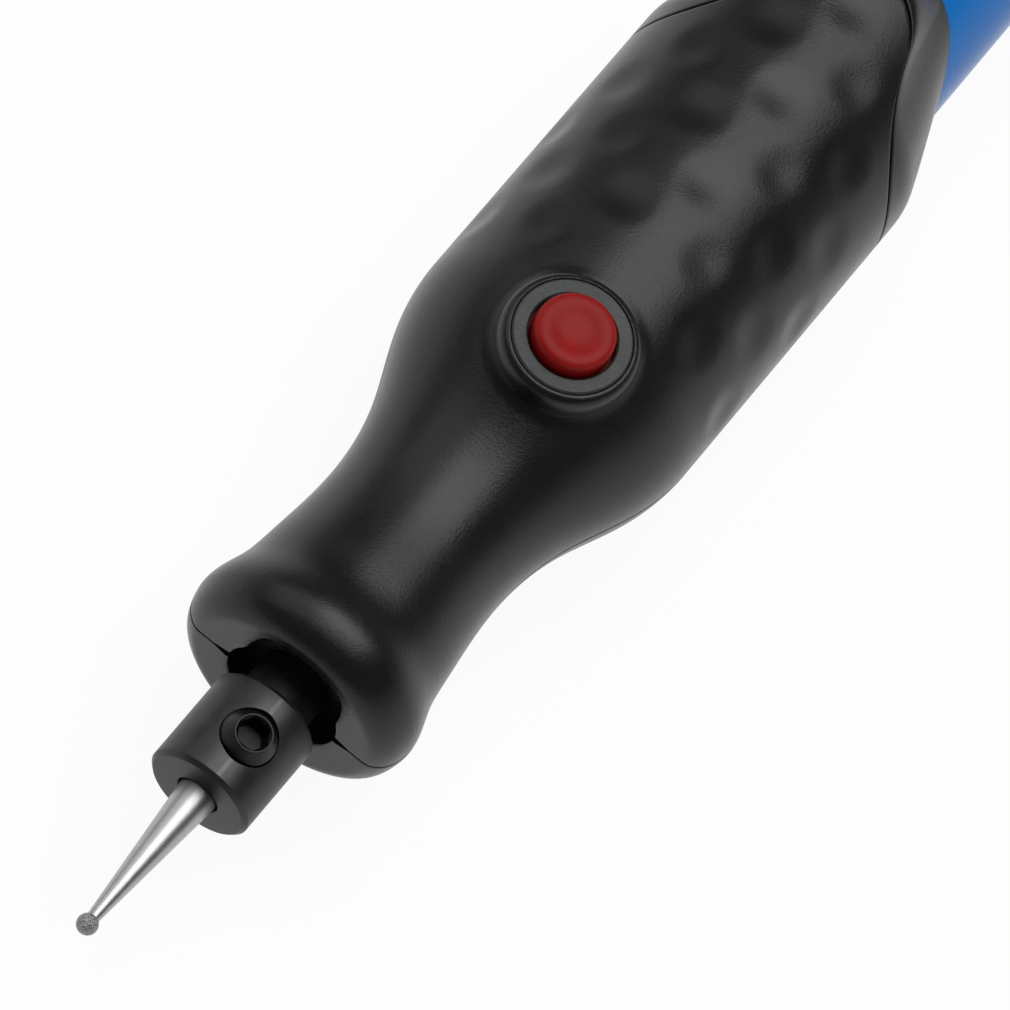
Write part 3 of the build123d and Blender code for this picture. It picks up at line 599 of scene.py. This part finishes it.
def clamped_spline(points, start, end, count):
    """A smooth curve through the points with the given unit directions at its ends, sampled evenly."""
    points = np.array(points, float)
    gaps = np.linalg.norm(np.diff(points, axis=0), axis=1)
    size = len(points)
    solve = np.zeros((size, size))
    slopes = np.zeros((size, 2))
    solve[0, 0] = solve[-1, -1] = 1
    slopes[0], slopes[-1] = start, end
    for i in range(1, size - 1):
        solve[i, i - 1:i + 2] = gaps[i], 2 * (gaps[i - 1] + gaps[i]), gaps[i - 1]
        slopes[i] = 3 * (gaps[i] * (points[i] - points[i - 1]) / gaps[i - 1]
                         + gaps[i - 1] * (points[i + 1] - points[i]) / gaps[i])
    slopes = np.linalg.solve(solve, slopes)
    curve = []
    for i, gap in enumerate(gaps):
        share = np.linspace(0, 1, 200, endpoint=False)[:, None]
        a = 2 * (points[i] - points[i + 1]) / gap + slopes[i] + slopes[i + 1]
        b = 3 * (points[i + 1] - points[i]) / gap - 2 * slopes[i] - slopes[i + 1]
        curve.append(points[i] + gap * (slopes[i] * share + b * share ** 2 + a * share ** 3))
    return evenly(np.vstack(curve + [points[-1:]]), count)


def evenly(path, count):
    """The path's points moved to equal distances along it."""
    path = np.asarray(path, float)
    along = np.concatenate([[0], np.cumsum(np.linalg.norm(np.diff(path, axis=0), axis=1))])
    wanted = np.linspace(0, along[-1], count)
    return np.stack([np.interp(wanted, along, path[:, k]) for k in range(path.shape[1])], axis=1)


nose_part = clamped_spline(nose_curve, (0, 1), (1, 0), 40)
waist_part = clamped_spline(waist_curve, (1, 0), (1, 0), 170)
side_profile = np.vstack([nose_part, waist_part[1:], [(grip_rear_x, grip_radius)],
                          [(collar_end_x, collar_end_radius)]])


def half_width(x):
    """Half the width, at a station, of the upper cover's outline seen from above.

    A round tip goes over into straight leaning flanks, which flare out past the grip.
    """
    tip_radius = 5.0
    lean = radians(24)
    flank_length = 2.0
    overrun = 1.0
    tip_middle = tongue_tip_x - tip_radius
    flank_x, flank_y = tip_middle + tip_radius * sin(lean), tip_radius * cos(lean)
    flare_x, flare_y = flank_x - flank_length * cos(lean), flank_y + flank_length * sin(lean)
    over_x, over_y = seam_front_x - flare_x, grip_radius + overrun - flare_y
    flare = (over_x ** 2 + over_y ** 2) / (2 * (over_x * sin(lean) + over_y * cos(lean)))
    middle_x, middle_y = flare_x + flare * sin(lean), flare_y + flare * cos(lean)
    tip = np.sqrt(np.maximum(tip_radius ** 2 - (x - tip_middle) ** 2, 0))
    flank = flank_y + (flank_x - x) * tan(lean)
    curl = middle_y - np.sqrt(np.maximum(flare ** 2 - (x - middle_x) ** 2, 0))
    return np.where(x > flank_x, tip, np.where(x > flare_x, flank, curl))


def soft_max(a, b, blend):
    mix = np.clip(0.5 + (a - b) / (2 * blend), 0, 1)
    return a * mix + b * (1 - mix) + blend * mix * (1 - mix)


def soft_min(a, b, blend):
    return -soft_max(-a, -b, blend)


table_turns = np.linspace(-pi, pi, 1441)


def seam_solved():
    """For each angle of the table, the station where the cover's outline crosses the turned grip."""
    halvings = 24
    low_x, high_x = np.full_like(table_turns, seam_front_x), np.full_like(table_turns, tongue_tip_x)
    for _ in range(halvings):
        middle = (low_x + high_x) / 2
        held = (half_width(middle) > grip_radius * np.abs(np.sin(table_turns))) & (np.cos(table_turns) > 0)
        low_x, high_x = np.where(held, middle, low_x), np.where(held, high_x, middle)
    return low_x


seam_table = seam_solved()

# Where the collar ends on the barrel: angles from the top in degrees, and stations
collar_edge = clamped_spline([(0, 86.8), (30, 86.4), (45, 85.5), (58, 84.3), (70, 83.3), (82, collar_end_x)],
                             (1, 0), (1, 0), 80)


def wrapped(turn):
    """The same angle between -pi and pi."""
    return (turn + pi) % (2 * pi) - pi


def seam_station(turn):
    """Station of the upper cover's rear seam at an angle."""
    return np.interp(wrapped(turn), table_turns, seam_table)


def collar_end(turn):
    """Station where the collar meets the barrel."""
    side = np.degrees(np.abs(wrapped(turn)))
    return np.interp(side, collar_edge[:, 0], collar_edge[:, 1])


def collar_radius(x, turn):
    """The collar's fall from the grip to the barrel, steeper where it is short.

    It starts at the grip's rear, or at the tongue's edge where that lies further back.
    """
    lip = 0.2
    start_blend = 1.2
    shoulder_blend = 0.9
    full_length = 7.5
    shortest_by = 4
    more_steep = 0.6
    start = soft_max(seam_station(turn) + lip, np.full_like(turn, grip_rear_x), start_blend)
    length = collar_end(turn) - start
    fall = soft_max(x - start, 0 * x, shoulder_blend) / length
    steep = 1 + more_steep * np.clip((full_length - length) / shortest_by, 0, 1)
    return grip_radius - (grip_radius - collar_end_radius) * np.minimum(fall, 1) ** steep


# Dimples, in rings round the grip: each ring lists the dimples' angles from its shell's middle
dimple_reach = 2.5
dimple_depth = 0.19
first_ring_x = 54.5
ring_pitch = 4.25
five = (-72, -36, 0, 36, 72)
four = (-54, -18, 18, 54)
upper_rings = ((-72, -36, 36, 72), four, five, four, (-36, 0, 36), (-18, 18), (0,))
lower_rings = (five, four, five, four, five)


def dimple_spots(rings, middle):
    """Stations and angles of the dimples, ring by ring from the front."""
    return [(first_ring_x + ring_pitch * i, middle + side) for i, ring in enumerate(rings) for side in ring]


def dimple_drop(x, turn, spots):
    """Depth below the turned form that the soft dimples give at each point."""
    drop = np.zeros_like(x)
    for station, side in spots:
        swing = wrapped(turn - radians(side))
        share = np.sqrt((x - station) ** 2 + (grip_radius * swing) ** 2) / dimple_reach
        drop += dimple_depth * np.where(share < 1, (1 + np.cos(pi * np.minimum(share, 1))) / 2, 0)
    return drop


boss_radius = 4.65


def boss_ground(x, turn, r):
    """Heights of the surface round the button, with a soft foot where the boss rises."""
    foot_width, foot_reach = 0.8, 6.6
    foot_share, foot_top = 0.3, bezel_top - 0.25
    deepest, highest = -0.2, 1
    y, z = r * np.sin(turn), r * np.cos(turn)
    away = np.hypot(x - bezel_middle_x, y)
    foot = 1 - np.clip((away - boss_radius) / foot_width, 0, 1)
    rise = foot_share * np.clip(foot_top - z, deepest, highest) * foot ** 2
    return np.where((away < foot_reach) & (z > 0), z + rise, z)


columns = 150
corner_turns = (pi / 2, pi / 3, pi / 6)


class Outline:
    """A half shell's closed side outline: rows whose station and radius may change with the angle."""

    def __init__(self):
        self.rows = []

    def add(self, x, r, form=False, ring=False):
        """x and r are numbers or functions of the angle; form rows carry dimples and boss."""
        as_function = [value if callable(value) else (lambda turn, fixed=value: np.full_like(turn, fixed))
                       for value in (x, r)]
        self.rows.append((*as_function, form, ring))

    def values(self, turn):
        """Stations and radii of all rows, at one array of angles for each row."""
        return [np.array([kind[k](angles) for kind, angles in zip(self.rows, turn)]) for k in (0, 1)]


def swept(outline, side, spots, boss=False):
    """Points of a half shell and their numbers, by rows that round over into the parting plane."""
    count = len(outline.rows)
    form = np.array([kind[2] for kind in outline.rows])[:, None]
    ring = np.array([kind[3] for kind in outline.rows])
    quarter = np.full((count, 1), side + pi / 2 * (1 - 1e-9))
    x_edge, r_edge = (part[:, 0] for part in outline.values(quarter))
    flat = seam_gap / 2
    reach = np.arccos((flat + seam_round) / r_edge)
    turn = side + np.linspace(-1, 1, columns)[None, :] * reach[:, None]
    x, r = outline.values(turn)
    drop = np.where(form, dimple_drop(x, turn, spots), 0)
    y, z = (r - drop) * np.sin(turn), (r - drop) * np.cos(turn)
    if boss:
        z = np.where(form, boss_ground(x, turn, r - drop), z)
    main = np.stack([x, y, z], axis=2)
    ahead = np.stack([np.roll(edge, -1) - np.roll(edge, 1) for edge in (x_edge, r_edge)], axis=1)
    ahead /= np.maximum(np.linalg.norm(ahead, axis=1, keepdims=True), 1e-9)
    normal_x, normal_r = -ahead[:, 1], ahead[:, 0]
    up = 1 if side == 0 else -1
    parts = []
    for edge, edge_column in ((-1, 0), (1, -1)):
        edge_x, edge_y, edge_z = main[:, edge_column].T
        rounds = []
        for angle in corner_turns:
            fall = seam_round * (1 - cos(angle))
            height = flat + seam_round * (1 - sin(angle))
            px = np.where(ring, edge_x, edge_x - normal_x * fall)
            on_ring = np.sqrt(np.hypot(edge_y, edge_z) ** 2 - height ** 2)
            py = np.where(ring, on_ring, np.abs(edge_y) - normal_r * fall)
            rounds.append(np.stack([px, edge * up * py, np.full(count, up * height)], axis=1))
        parts.append(rounds)
    left = np.stack(parts[0], axis=1)
    right = np.stack(parts[1][::-1], axis=1)
    points = np.concatenate([left, main, right], axis=1)
    return points, np.arange(points[..., 0].size).reshape(points.shape[:2])


def grid_faces(index, close_rows=False, close_columns=False):
    """Quads between neighbouring entries of a table of point numbers."""
    if close_rows:
        index = np.vstack([index, index[:1]])
    if close_columns:
        index = np.hstack([index, index[:, :1]])
    a, b, c, d = index[:-1, :-1], index[:-1, 1:], index[1:, 1:], index[1:, :-1]
    return np.stack([a, b, c, d], axis=-1).reshape(-1, 4).tolist()


def relief_opening(turn):
    """Radius of the nose's opening: wider above the chuck's screw, with rounded ends."""
    corner_blend, foot_blend = 2.4, 0.2
    swing = np.abs(wrapped(turn - relief_lean))
    sides = relief_half_width / np.maximum(np.sin(np.minimum(swing, pi / 2)), 0.1)
    wide = soft_min(np.full_like(turn, relief_radius - nose_rim), sides, corner_blend)
    wide = soft_max(wide, opening_radius + 0 * turn, foot_blend)
    return np.where(swing < pi / 2, wide, opening_radius)


def plain_opening(turn):
    return np.full_like(turn, opening_radius)


def nose_rows(outline, opening):
    """The bore, the relief and the face of the nose."""
    floor_x = nose_x + relief_depth
    face_edge = face_radius - 0.05
    for x in (*bore_stations, floor_x):
        outline.add(x, opening_radius)
    for x in (floor_x, floor_x - 0.6, floor_x - 1.3):
        outline.add(x, opening)
    for angle in (0, 30, 60, 90):
        inward, forward = nose_rim * (1 - cos(radians(angle))), nose_rim * (1 - sin(radians(angle)))
        outline.add(nose_x + forward, lambda t, lift=inward: opening(t) + lift)
    for share in (0.15, 0.35, 0.6, 0.85):
        outline.add(nose_x, lambda t, s=share: (opening(t) + nose_rim) * (1 - s) + face_edge * s)


def cavity_rows(outline, rear_stations=()):
    """The inside from the grip forward to the motor's seat."""
    for x in (*rear_stations, 66, 60, 55, 52, 50, 48, 46, 44, 42, 40, 37, 34.5, 32, 29.5, 27.5,
              motor_seat_rear_x):
        outer = np.interp(x, side_profile[:, 0], side_profile[:, 1])
        outline.add(x, max(outer - wall, motor_seat_radius))
    outline.add(motor_seat_rear_x, motor_seat_radius + 0.01)
    outline.add(motor_seat_front_x, motor_seat_radius)


def body_rows(outline):
    """The outside from the nose to the grip. Returns the station where it ends."""
    rows = side_profile[side_profile[:, 0] <= grip_front_x]
    for x, r in rows:
        outline.add(x, r, form=True)
    return rows[-1, 0]


def upper_shell():
    """The cover: outside to its seam, round its rear edge and back along the inside."""
    steps = 130
    edge = 0.15
    bore_front_x = 68
    outline = Outline()
    nose_rows(outline, relief_opening)
    start = body_rows(outline)
    for i in range(1, steps + 1):
        outline.add(lambda t, s=i / steps: start + (seam_station(t) - edge - start) * s, grip_radius,
                    form=True)
    for angle in (30, 60, 90):
        back, fall = edge * sin(radians(angle)), edge * (1 - cos(radians(angle)))
        outline.add(lambda t, b=back: seam_station(t) - edge + b, grip_radius - fall)
    outline.add(seam_station, (grip_radius + rear_bore_radius) / 2)
    for share in (1, 0.75, 0.5, 0.25):
        outline.add(lambda t, s=share: bore_front_x + (seam_station(t) - bore_front_x) * s, rear_bore_radius)
    cavity_rows(outline)
    points, index = swept(outline, 0, dimple_spots(upper_rings, 0), boss=True)
    faces = grid_faces(index, close_rows=True)
    faces += [index[:, 0].tolist(), index[:, -1].tolist()]
    return points.reshape(-1, 3), faces


def ring_front(turn):
    """Where the lower body's closed ring begins, behind the cover's seam."""
    return seam_station(turn) + rear_gap


def ring_rows(outline):
    """The closed ring at the rear: its front edge, the collar, and the bore that holds the barrel."""
    steps = 60
    edge = 0.13
    bore = tube_radius - 0.14
    bore_front_x = 76.3

    def ease(turn):
        """0 on the lower half, 1 a little above the parting plane."""
        return np.clip(np.cos(turn) / 0.05, 0, 1)

    def station(turn, share):
        return ring_front(turn) + edge + (collar_end(turn) - ring_front(turn) - edge) * share

    for angle in (90, 60, 30, 0):
        back, fall = edge * (1 - sin(radians(angle))), edge * (1 - cos(radians(angle)))
        outline.add(lambda t, b=back: ring_front(t) + b,
                    lambda t, b=back, f=fall: collar_radius(ring_front(t) + b, t) - f * ease(t), ring=True)
    for i in range(1, steps + 1):
        outline.add(lambda t, s=i / steps: station(t, s),
                    lambda t, s=i / steps: collar_radius(station(t, s), t), ring=True)
    outline.add(collar_end, bore, ring=True)
    for x in (82, 80, 78, bore_front_x):
        outline.add(lambda t, at=x: np.maximum(np.minimum(at, collar_end(t)), ring_front(t)), bore, ring=True)
    for x in (bore_front_x, seam_front_x + rear_gap):
        outline.add(lambda t, at=x: np.maximum(at, ring_front(t)), rear_bore_radius, ring=True)


def lower_shell():
    """The lower body: a half shell whose rear rows close over the top as a ring."""
    steps = 95
    outline = Outline()
    nose_rows(outline, plain_opening)
    start = body_rows(outline)
    length = seam_front_x + rear_gap - start
    for i in range(1, steps):
        outline.add(start + length * i / steps, grip_radius, form=True)
    first_ring = len(outline.rows)
    ring_rows(outline)
    last_ring = len(outline.rows)
    cavity_rows(outline, (71,))
    points, index = swept(outline, pi, dimple_spots(lower_rings, 180))
    faces = grid_faces(index, close_rows=True)

    # The columns that close the ring over the top, between the half shell's two sides
    numbers = np.arange(first_ring, last_ring)
    edge_r = np.hypot(points[numbers, 0, 1], points[numbers, 0, 2])
    reach = pi / 2 + np.arcsin(seam_gap / 2 / edge_r)
    turn = np.linspace(-1, 1, columns + 2)[None, 1:-1] * reach[:, None]
    ring_outline = Outline()
    ring_outline.rows = outline.rows[first_ring:last_ring]
    x, r = ring_outline.values(turn)
    above = np.stack([x, r * np.sin(turn), r * np.cos(turn)], axis=2)
    above_index = np.arange(len(numbers) * columns).reshape(len(numbers), columns) + index.size
    closed = np.hstack([index[numbers, -1:], above_index, index[numbers, :1]])
    faces += grid_faces(closed)
    faces += grid_faces(closed[[-1, 0]])
    for column in (0, -1):
        cap = np.concatenate([index[last_ring - 1:, column], index[:first_ring + 1, column]])
        faces.append(cap.tolist())
    return np.vstack([points.reshape(-1, 3), above.reshape(-1, 3)]), faces


def clean(item):
    """Joins points that lie on each other, and takes out slivers and edges without faces."""
    work = bmesh.new()
    work.from_mesh(item.data)
    bmesh.ops.remove_doubles(work, verts=work.verts, dist=merge_reach * MM)
    bmesh.ops.dissolve_degenerate(work, edges=work.edges, dist=sliver_reach * MM)
    stray = [edge for edge in work.edges if not edge.link_faces]
    bmesh.ops.delete(work, geom=stray, context="EDGES")
    work.to_mesh(item.data)
    work.free()


def turned(outline, centre, axis, segments, lean=0):
    """Points and faces of a turned solid from its closed side outline of (along, radius) rows.

    Each number may be a function of the angle. The lean, in degrees, turns the solid about the pen's axis.
    """
    turn = np.linspace(0, 2 * pi, segments, endpoint=False)
    along, radius = [np.array([value(turn) if callable(value) else np.full(segments, float(value))
                               for value in part]) for part in zip(*outline)]
    first, second = radius * np.sin(turn), radius * np.cos(turn)
    order = {"X": (along, first, second), "Z": (first, second, along)}[axis]
    x, y, z = np.stack(order, axis=2).reshape(-1, 3).T + np.reshape(centre, (3, 1))
    swing = radians(lean)
    points = np.stack([x, y * cos(swing) - z * sin(swing), y * sin(swing) + z * cos(swing)], axis=1)
    index = np.arange(len(points)).reshape(len(outline), segments)
    return points, grid_faces(index, close_rows=True, close_columns=True)


def unit(way):
    return way / np.linalg.norm(way)


def rounded(corners):
    """An outline from (along, radius, rounding) corners, each rounding an arc of that radius."""
    path = []
    for i, (along, radius, size) in enumerate(corners):
        here = np.array((along, radius), float)
        if not size:
            path.append(tuple(here))
            continue
        ways = [unit(np.array(corners[k][:2]) - here) for k in (i - 1, (i + 1) % len(corners))]
        half = acos(float(np.dot(*ways))) / 2
        middle = here + unit(ways[0] + ways[1]) * size / sin(half)
        ends = [here + way * size / tan(half) - middle for way in ways]
        for share in (0, 0.25, 0.5, 0.75, 1):
            path.append(tuple(middle + unit(ends[0] * (1 - share) + ends[1] * share) * size))
    return path


def thread_rows(front, rear, step, pitch, root, crest, base):
    """Rows of a screw thread between radii root and crest, fading to the base radius at both ends."""
    ridge_foot, flank_width = 0.34, 0.18

    def at(x, turn):
        phase = (x / pitch + turn / (2 * pi)) % 1
        ridge = np.clip((ridge_foot - np.abs(phase - 0.5)) / flank_width, 0, 1)
        fade = min(1, max(0, min(x - front, rear - x) / (pitch / 3)))
        return base + (root + (crest - root) * ridge - base) * fade

    stations = np.linspace(front, rear, int(round((rear - front) / step)) + 1)
    return [(x, lambda turn, x=x: at(x, turn)) for x in stations]


def lathe(name, outline, centre, axis, segments, body, node, sharp=35, lean=0):
    """A turned piece from its closed side outline."""
    item = mesh_object(name, *turned(outline, centre, axis, segments, lean), body, node)
    clean(item)
    finished(item, sharp)
    return item


def combine(item, operation, points, faces):
    """Adds a closed solid to a closed piece, or cuts it away."""
    tool = built("helper", points, faces, merged=True)
    bpy.context.view_layer.update()
    change = item.modifiers.new("combine", "BOOLEAN")
    change.operation = operation
    change.solver = "MANIFOLD"
    change.object = tool
    graph = bpy.context.evaluated_depsgraph_get()
    made = bpy.data.meshes.new_from_object(item.evaluated_get(graph))
    item.modifiers.clear()
    item.data = made
    bpy.data.objects.remove(tool)


def block(x, y, z):
    """Points and faces of a box between pairs of stations, sides and heights."""
    points = [(x[i], y[j], z[k]) for i in (0, 1) for j in (0, 1) for k in (0, 1)]
    return points, [(0, 1, 3, 2), (4, 6, 7, 5), (0, 4, 5, 1), (2, 3, 7, 6), (0, 2, 6, 4), (1, 5, 7, 3)]


def seam_notch(item):
    """Opens the parting line into a small V where it meets the nose's bore."""
    notch = ((3.6, 0.55), (5.9, 0), (3.6, -0.55))
    for side in (-1, 1):
        ends = [(x, side * y, z) for x in (nose_x - 1, nose_x + 1.6) for y, z in notch]
        faces = [(0, 1, 2), (5, 4, 3), (0, 3, 4, 1), (1, 4, 5, 2), (2, 5, 3, 0)]
        combine(item, "DIFFERENCE", ends, faces)


def finished(item, sharp=35):
    """Smooth shading with the edges above an angle kept sharp."""
    item.data.polygons.foreach_set("use_smooth", [True] * len(item.data.polygons))
    item.data.set_sharp_from_angle(angle=radians(sharp))


# Upper cover, with the boss round the button and the hole through it
shell_sharp = 26
boss_top = bezel_top - 0.1
boss_inside = 3.2
boss_foot = 4.78
hole_mouth = 4.1
hole_radius = 4.04
guide_radius = 3.7
guide_top = bezel_top - 1.2
button_centre = (bezel_middle_x, 0, 0)
boss_side = clamped_spline([(boss_top, 4.12), (boss_top - 0.1, 4.38), (boss_top - 0.4, 4.62),
                            (boss_top - 1.2, boss_foot)], (0, 1), (-1, 0.1), 14)
boss_outline = [(switch_top, boss_inside), (boss_top, boss_inside), *boss_side.tolist(),
                (switch_top, boss_foot)]
hole_outline = [(switch_top - 1, 0), (boss_top + 3, 0), (boss_top + 3, hole_mouth), (boss_top, hole_mouth),
                (boss_top - 0.06, hole_radius), (guide_top, hole_radius), (guide_top, guide_radius),
                (switch_top - 1, guide_radius)]
upper = mesh_object("upper_cover_moulding", *upper_shell(), "housing", "upper_cover")
clean(upper)
combine(upper, "UNION", *turned(boss_outline, button_centre, "Z", 160))
combine(upper, "DIFFERENCE", *turned(hole_outline, button_centre, "Z", 160))
seam_notch(upper)
finished(upper, shell_sharp)

# Lower body
lower = mesh_object("lower_body_moulding", *lower_shell(), "housing", "lower_body")
clean(lower)
seam_notch(lower)
finished(lower, shell_sharp)

# Button cap: a slightly dished top with a round rim, on a flange
button_radius = 2.72
flange_radius = 3.55
flange_top = cap_floor + 0.8
flange_edge = 0.05
crown = clamped_spline([(0, button_top - 0.26), (1.1, button_top - 0.19), (2.15, button_top),
                        (2.55, button_top - 0.15), (button_radius, button_top - 0.6)], (1, 0), (0, -1), 40)
cap_outline = [(z, r) for r, z in crown]
cap_outline += [(flange_top, button_radius), (flange_top, flange_radius - flange_edge),
                (flange_top - flange_edge, flange_radius), (cap_floor, flange_radius), (cap_floor, 0)]
lathe("button_cap_moulding", cap_outline, button_centre, "Z", 160, "button", "button_cap", sharp=40)


def coil(wire, turns, radius, bottom, top):
    """Points and faces of a round-wire spring about the button's axis."""
    steps_a_turn, wire_sides = 48, 14
    turn = np.linspace(0, 2 * pi * turns, steps_a_turn * turns + 1)[:, None]
    height = np.linspace(bottom + wire / 2, top - wire / 2, len(turn))[:, None]
    rise = (top - bottom - wire) / (2 * pi * turns)
    length = np.hypot(rise, radius)
    spread = np.linspace(0, 2 * pi, wire_sides, endpoint=False)[None, :]
    out, up = wire / 2 * np.cos(spread), wire / 2 * np.sin(spread)
    x = (radius + out) * np.cos(turn) - up * rise / length * np.sin(turn)
    y = (radius + out) * np.sin(turn) + up * rise / length * np.cos(turn)
    z = height - up * radius / length
    index = np.arange(x.size).reshape(x.shape)
    faces = grid_faces(index, close_columns=True) + [index[0].tolist(), index[-1].tolist()]
    return np.stack([x + bezel_middle_x, y, z], axis=2).reshape(-1, 3), faces


# The button's spring, a round-wire coil with a mesh of its own; on the pen it shortens as the button goes
# down
spring_wire = 0.36
spring_turns = 4
spring_radius = 2.6
spring_form = coil(spring_wire, spring_turns, spring_radius, spring_low, spring_high)
spring = mesh_object("button_spring_coil", *spring_form, "housing", "button_spring")
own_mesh(spring)

# Chuck, on a hub on the motor's shaft, with a clear hole for its screw
pen_axis = (0, 0, 0)
mouth_radius = shank_radius + 0.1
bore_radius = shank_radius + 0.05
hub_radius = 2.5
shaft_radius = 1.0
front_chamfer = 0.3
rear_chamfer = 0.35
edge_round = 0.05
chuck_outline = rounded([
    (chuck_front_x, mouth_radius, 0), (chuck_front_x, chuck_radius - front_chamfer, edge_round),
    (chuck_front_x + front_chamfer, chuck_radius, edge_round),
    (chuck_rear_x - rear_chamfer, chuck_radius, edge_round),
    (chuck_rear_x, chuck_radius - rear_chamfer, edge_round), (chuck_rear_x, hub_radius, 0),
    (hub_rear_x, hub_radius, 0.1), (hub_rear_x, shaft_radius, 0), (shank_end_x + 0.05, shaft_radius, 0),
    (shank_end_x + 0.05, bore_radius, 0), (chuck_front_x + 0.06, shank_radius + 0.04, 0)])
chuck = lathe("chuck_turning", chuck_outline, pen_axis, "X", 200, "spindle", "chuck")
hole_foot = 0.5
clear_radius = screw_radius + 0.03
clear_mouth = screw_radius + 0.08
screw_centre = (screw_x, 0, 0)
screw_hole = [(hole_foot, 0), (chuck_radius + 1, 0), (chuck_radius + 1, clear_mouth),
              (chuck_radius, clear_mouth), (chuck_radius - 0.07, clear_radius), (hole_foot, clear_radius)]
combine(chuck, "DIFFERENCE", *turned(screw_hole, screw_centre, "Z", 96, chuck_lean))
finished(chuck)

# Set screw: a thread, a cone on top and a six-sided socket with a countersink
screw_top = chuck_radius + 0.75
screw_foot = shank_radius + 0.05
screw_root = 1.7
screw_pitch = 0.7
point_radius = 1.2
cone_foot_radius = 1.88
cone_top_radius = screw_radius - 0.65
thread_foot = screw_foot + 0.5
thread_top = screw_top - 1.1
socket_corner = 1.155
socket_bore = 0.96
socket_mouth = 1.19
socket_floor = screw_top - 1.8
screw_outline = rounded([(screw_foot, 0, 0), (screw_foot, point_radius, 0), (thread_foot, screw_root, 0)])
screw_outline += thread_rows(thread_foot, thread_top, 0.06, screw_pitch, screw_root, screw_radius,
                             screw_root)
screw_outline += rounded([(thread_top, screw_root, 0), (screw_top - 1.0, cone_foot_radius, 0.04),
                          (screw_top, cone_top_radius, 0.05), (screw_top, socket_mouth, 0.03),
                          (screw_top - 0.25, socket_bore, 0), (socket_floor, socket_bore, 0),
                          (screw_top - 2.1, 0, 0)])
screw = lathe("set_screw_turning", screw_outline, screw_centre, "Z", 120, "set_screw", "chuck_set_screw",
              lean=chuck_lean)
socket = [(socket_floor, 0), (screw_top + 1, 0), (screw_top + 1, socket_corner),
          (socket_floor, socket_corner)]
combine(screw, "DIFFERENCE", *turned(socket, screw_centre, "Z", 6, chuck_lean))
finished(screw)

# Bur's shank: a thin neck behind the ball, and a long taper that ends inside the chuck
neck_radius = 0.45
neck_x = sqrt(ball_radius ** 2 - neck_radius ** 2)
neck_front_x = neck_x - 0.05
taper_end_x = chuck_front_x + 1.3
taper_round = 40
shank_outline = rounded([(neck_front_x, 0, 0), (neck_front_x, neck_radius, 0), (ball_radius, neck_radius, 0),
                         (taper_end_x, shank_radius, taper_round), (shank_end_x - 0.3, shank_radius, 0.1),
                         (shank_end_x, shank_radius - 0.3, 0.05), (shank_end_x, 0, 0)])
lathe("bur_shank_turning", shank_outline, pen_axis, "X", 120, "bur", "bur_shank")

# Barrel, with the tail cap's thread and the return strip's channel
bore = 5.75
step_radius = 7.8
seat = 6.6
thread_x = 143.9
thread_crest = 6.31
pitch = 1.5
strip_side = 1.52
strip_low = -6.17
tube_outline = rounded([(tube_front_x, bore, 0), (tube_front_x, step_radius, 0.3),
                        (tube_front_x + 1, step_radius, 0)])
step_rows = ((0.06, step_radius), (0.08, 7.95), (0.13, tube_radius))
tube_outline += [(lambda t, gap=gap: collar_end(t) + gap, radius) for gap, radius in step_rows]
tube_outline += [(x, tube_radius) for x in np.linspace(88, tube_rear_x - 1, 12)]
tube_outline += rounded([(tube_rear_x - 1, tube_radius, 0), (tube_rear_x, tube_radius, 0.3),
                         (tube_rear_x, seat + 0.1, 0), (tube_rear_x - 0.1, seat, 0)])
tube_outline += thread_rows(thread_x + 0.4, thread_x + 5, 0.1, pitch, thread_crest, seat, seat)[::-1]
tube_outline += [(thread_x, seat), (thread_x, bore)]
tube = lathe("barrel_moulding", tube_outline, pen_axis, "X", 200, "housing", "battery_tube")
for front, floor_z in ((tube_front_x - 1, strip_low), (thread_x - 0.32, strip_low - 0.35)):
    channel = block((front, thread_x + 1), (-strip_side, strip_side), (floor_z, 0))
    combine(tube, "DIFFERENCE", *channel)
finished(tube)

# Tail cap's sleeve, with its thread and the groove of the seal ring
sleeve_bore = 5.65
sleeve_root = 6.25
groove_radius = 6.0
groove_half = 0.3
groove_front_x = ring_x - groove_half
groove_rear_x = ring_x + groove_half
sleeve_outline = rounded([(sleeve_x, sleeve_bore, 0), (sleeve_x, sleeve_root, 0.05),
                          (sleeve_x + 0.15, sleeve_root, 0)])
sleeve_outline += thread_rows(sleeve_x + 0.2, ring_x - 0.65, 0.1, pitch, sleeve_root, sleeve_radius,
                              sleeve_root)
sleeve_outline += rounded([(ring_x - 0.6, sleeve_radius, 0), (groove_front_x, sleeve_radius, 0.04),
                           (groove_front_x, groove_radius, 0), (groove_rear_x, groove_radius, 0),
                           (groove_rear_x, sleeve_radius, 0.04), (sleeve_end_x, sleeve_radius, 0.05),
                           (sleeve_end_x, sleeve_bore, 0)])
lathe("thread_sleeve_turning", sleeve_outline, pen_axis, "X", 160, "tail_cap", "cap_thread_sleeve")
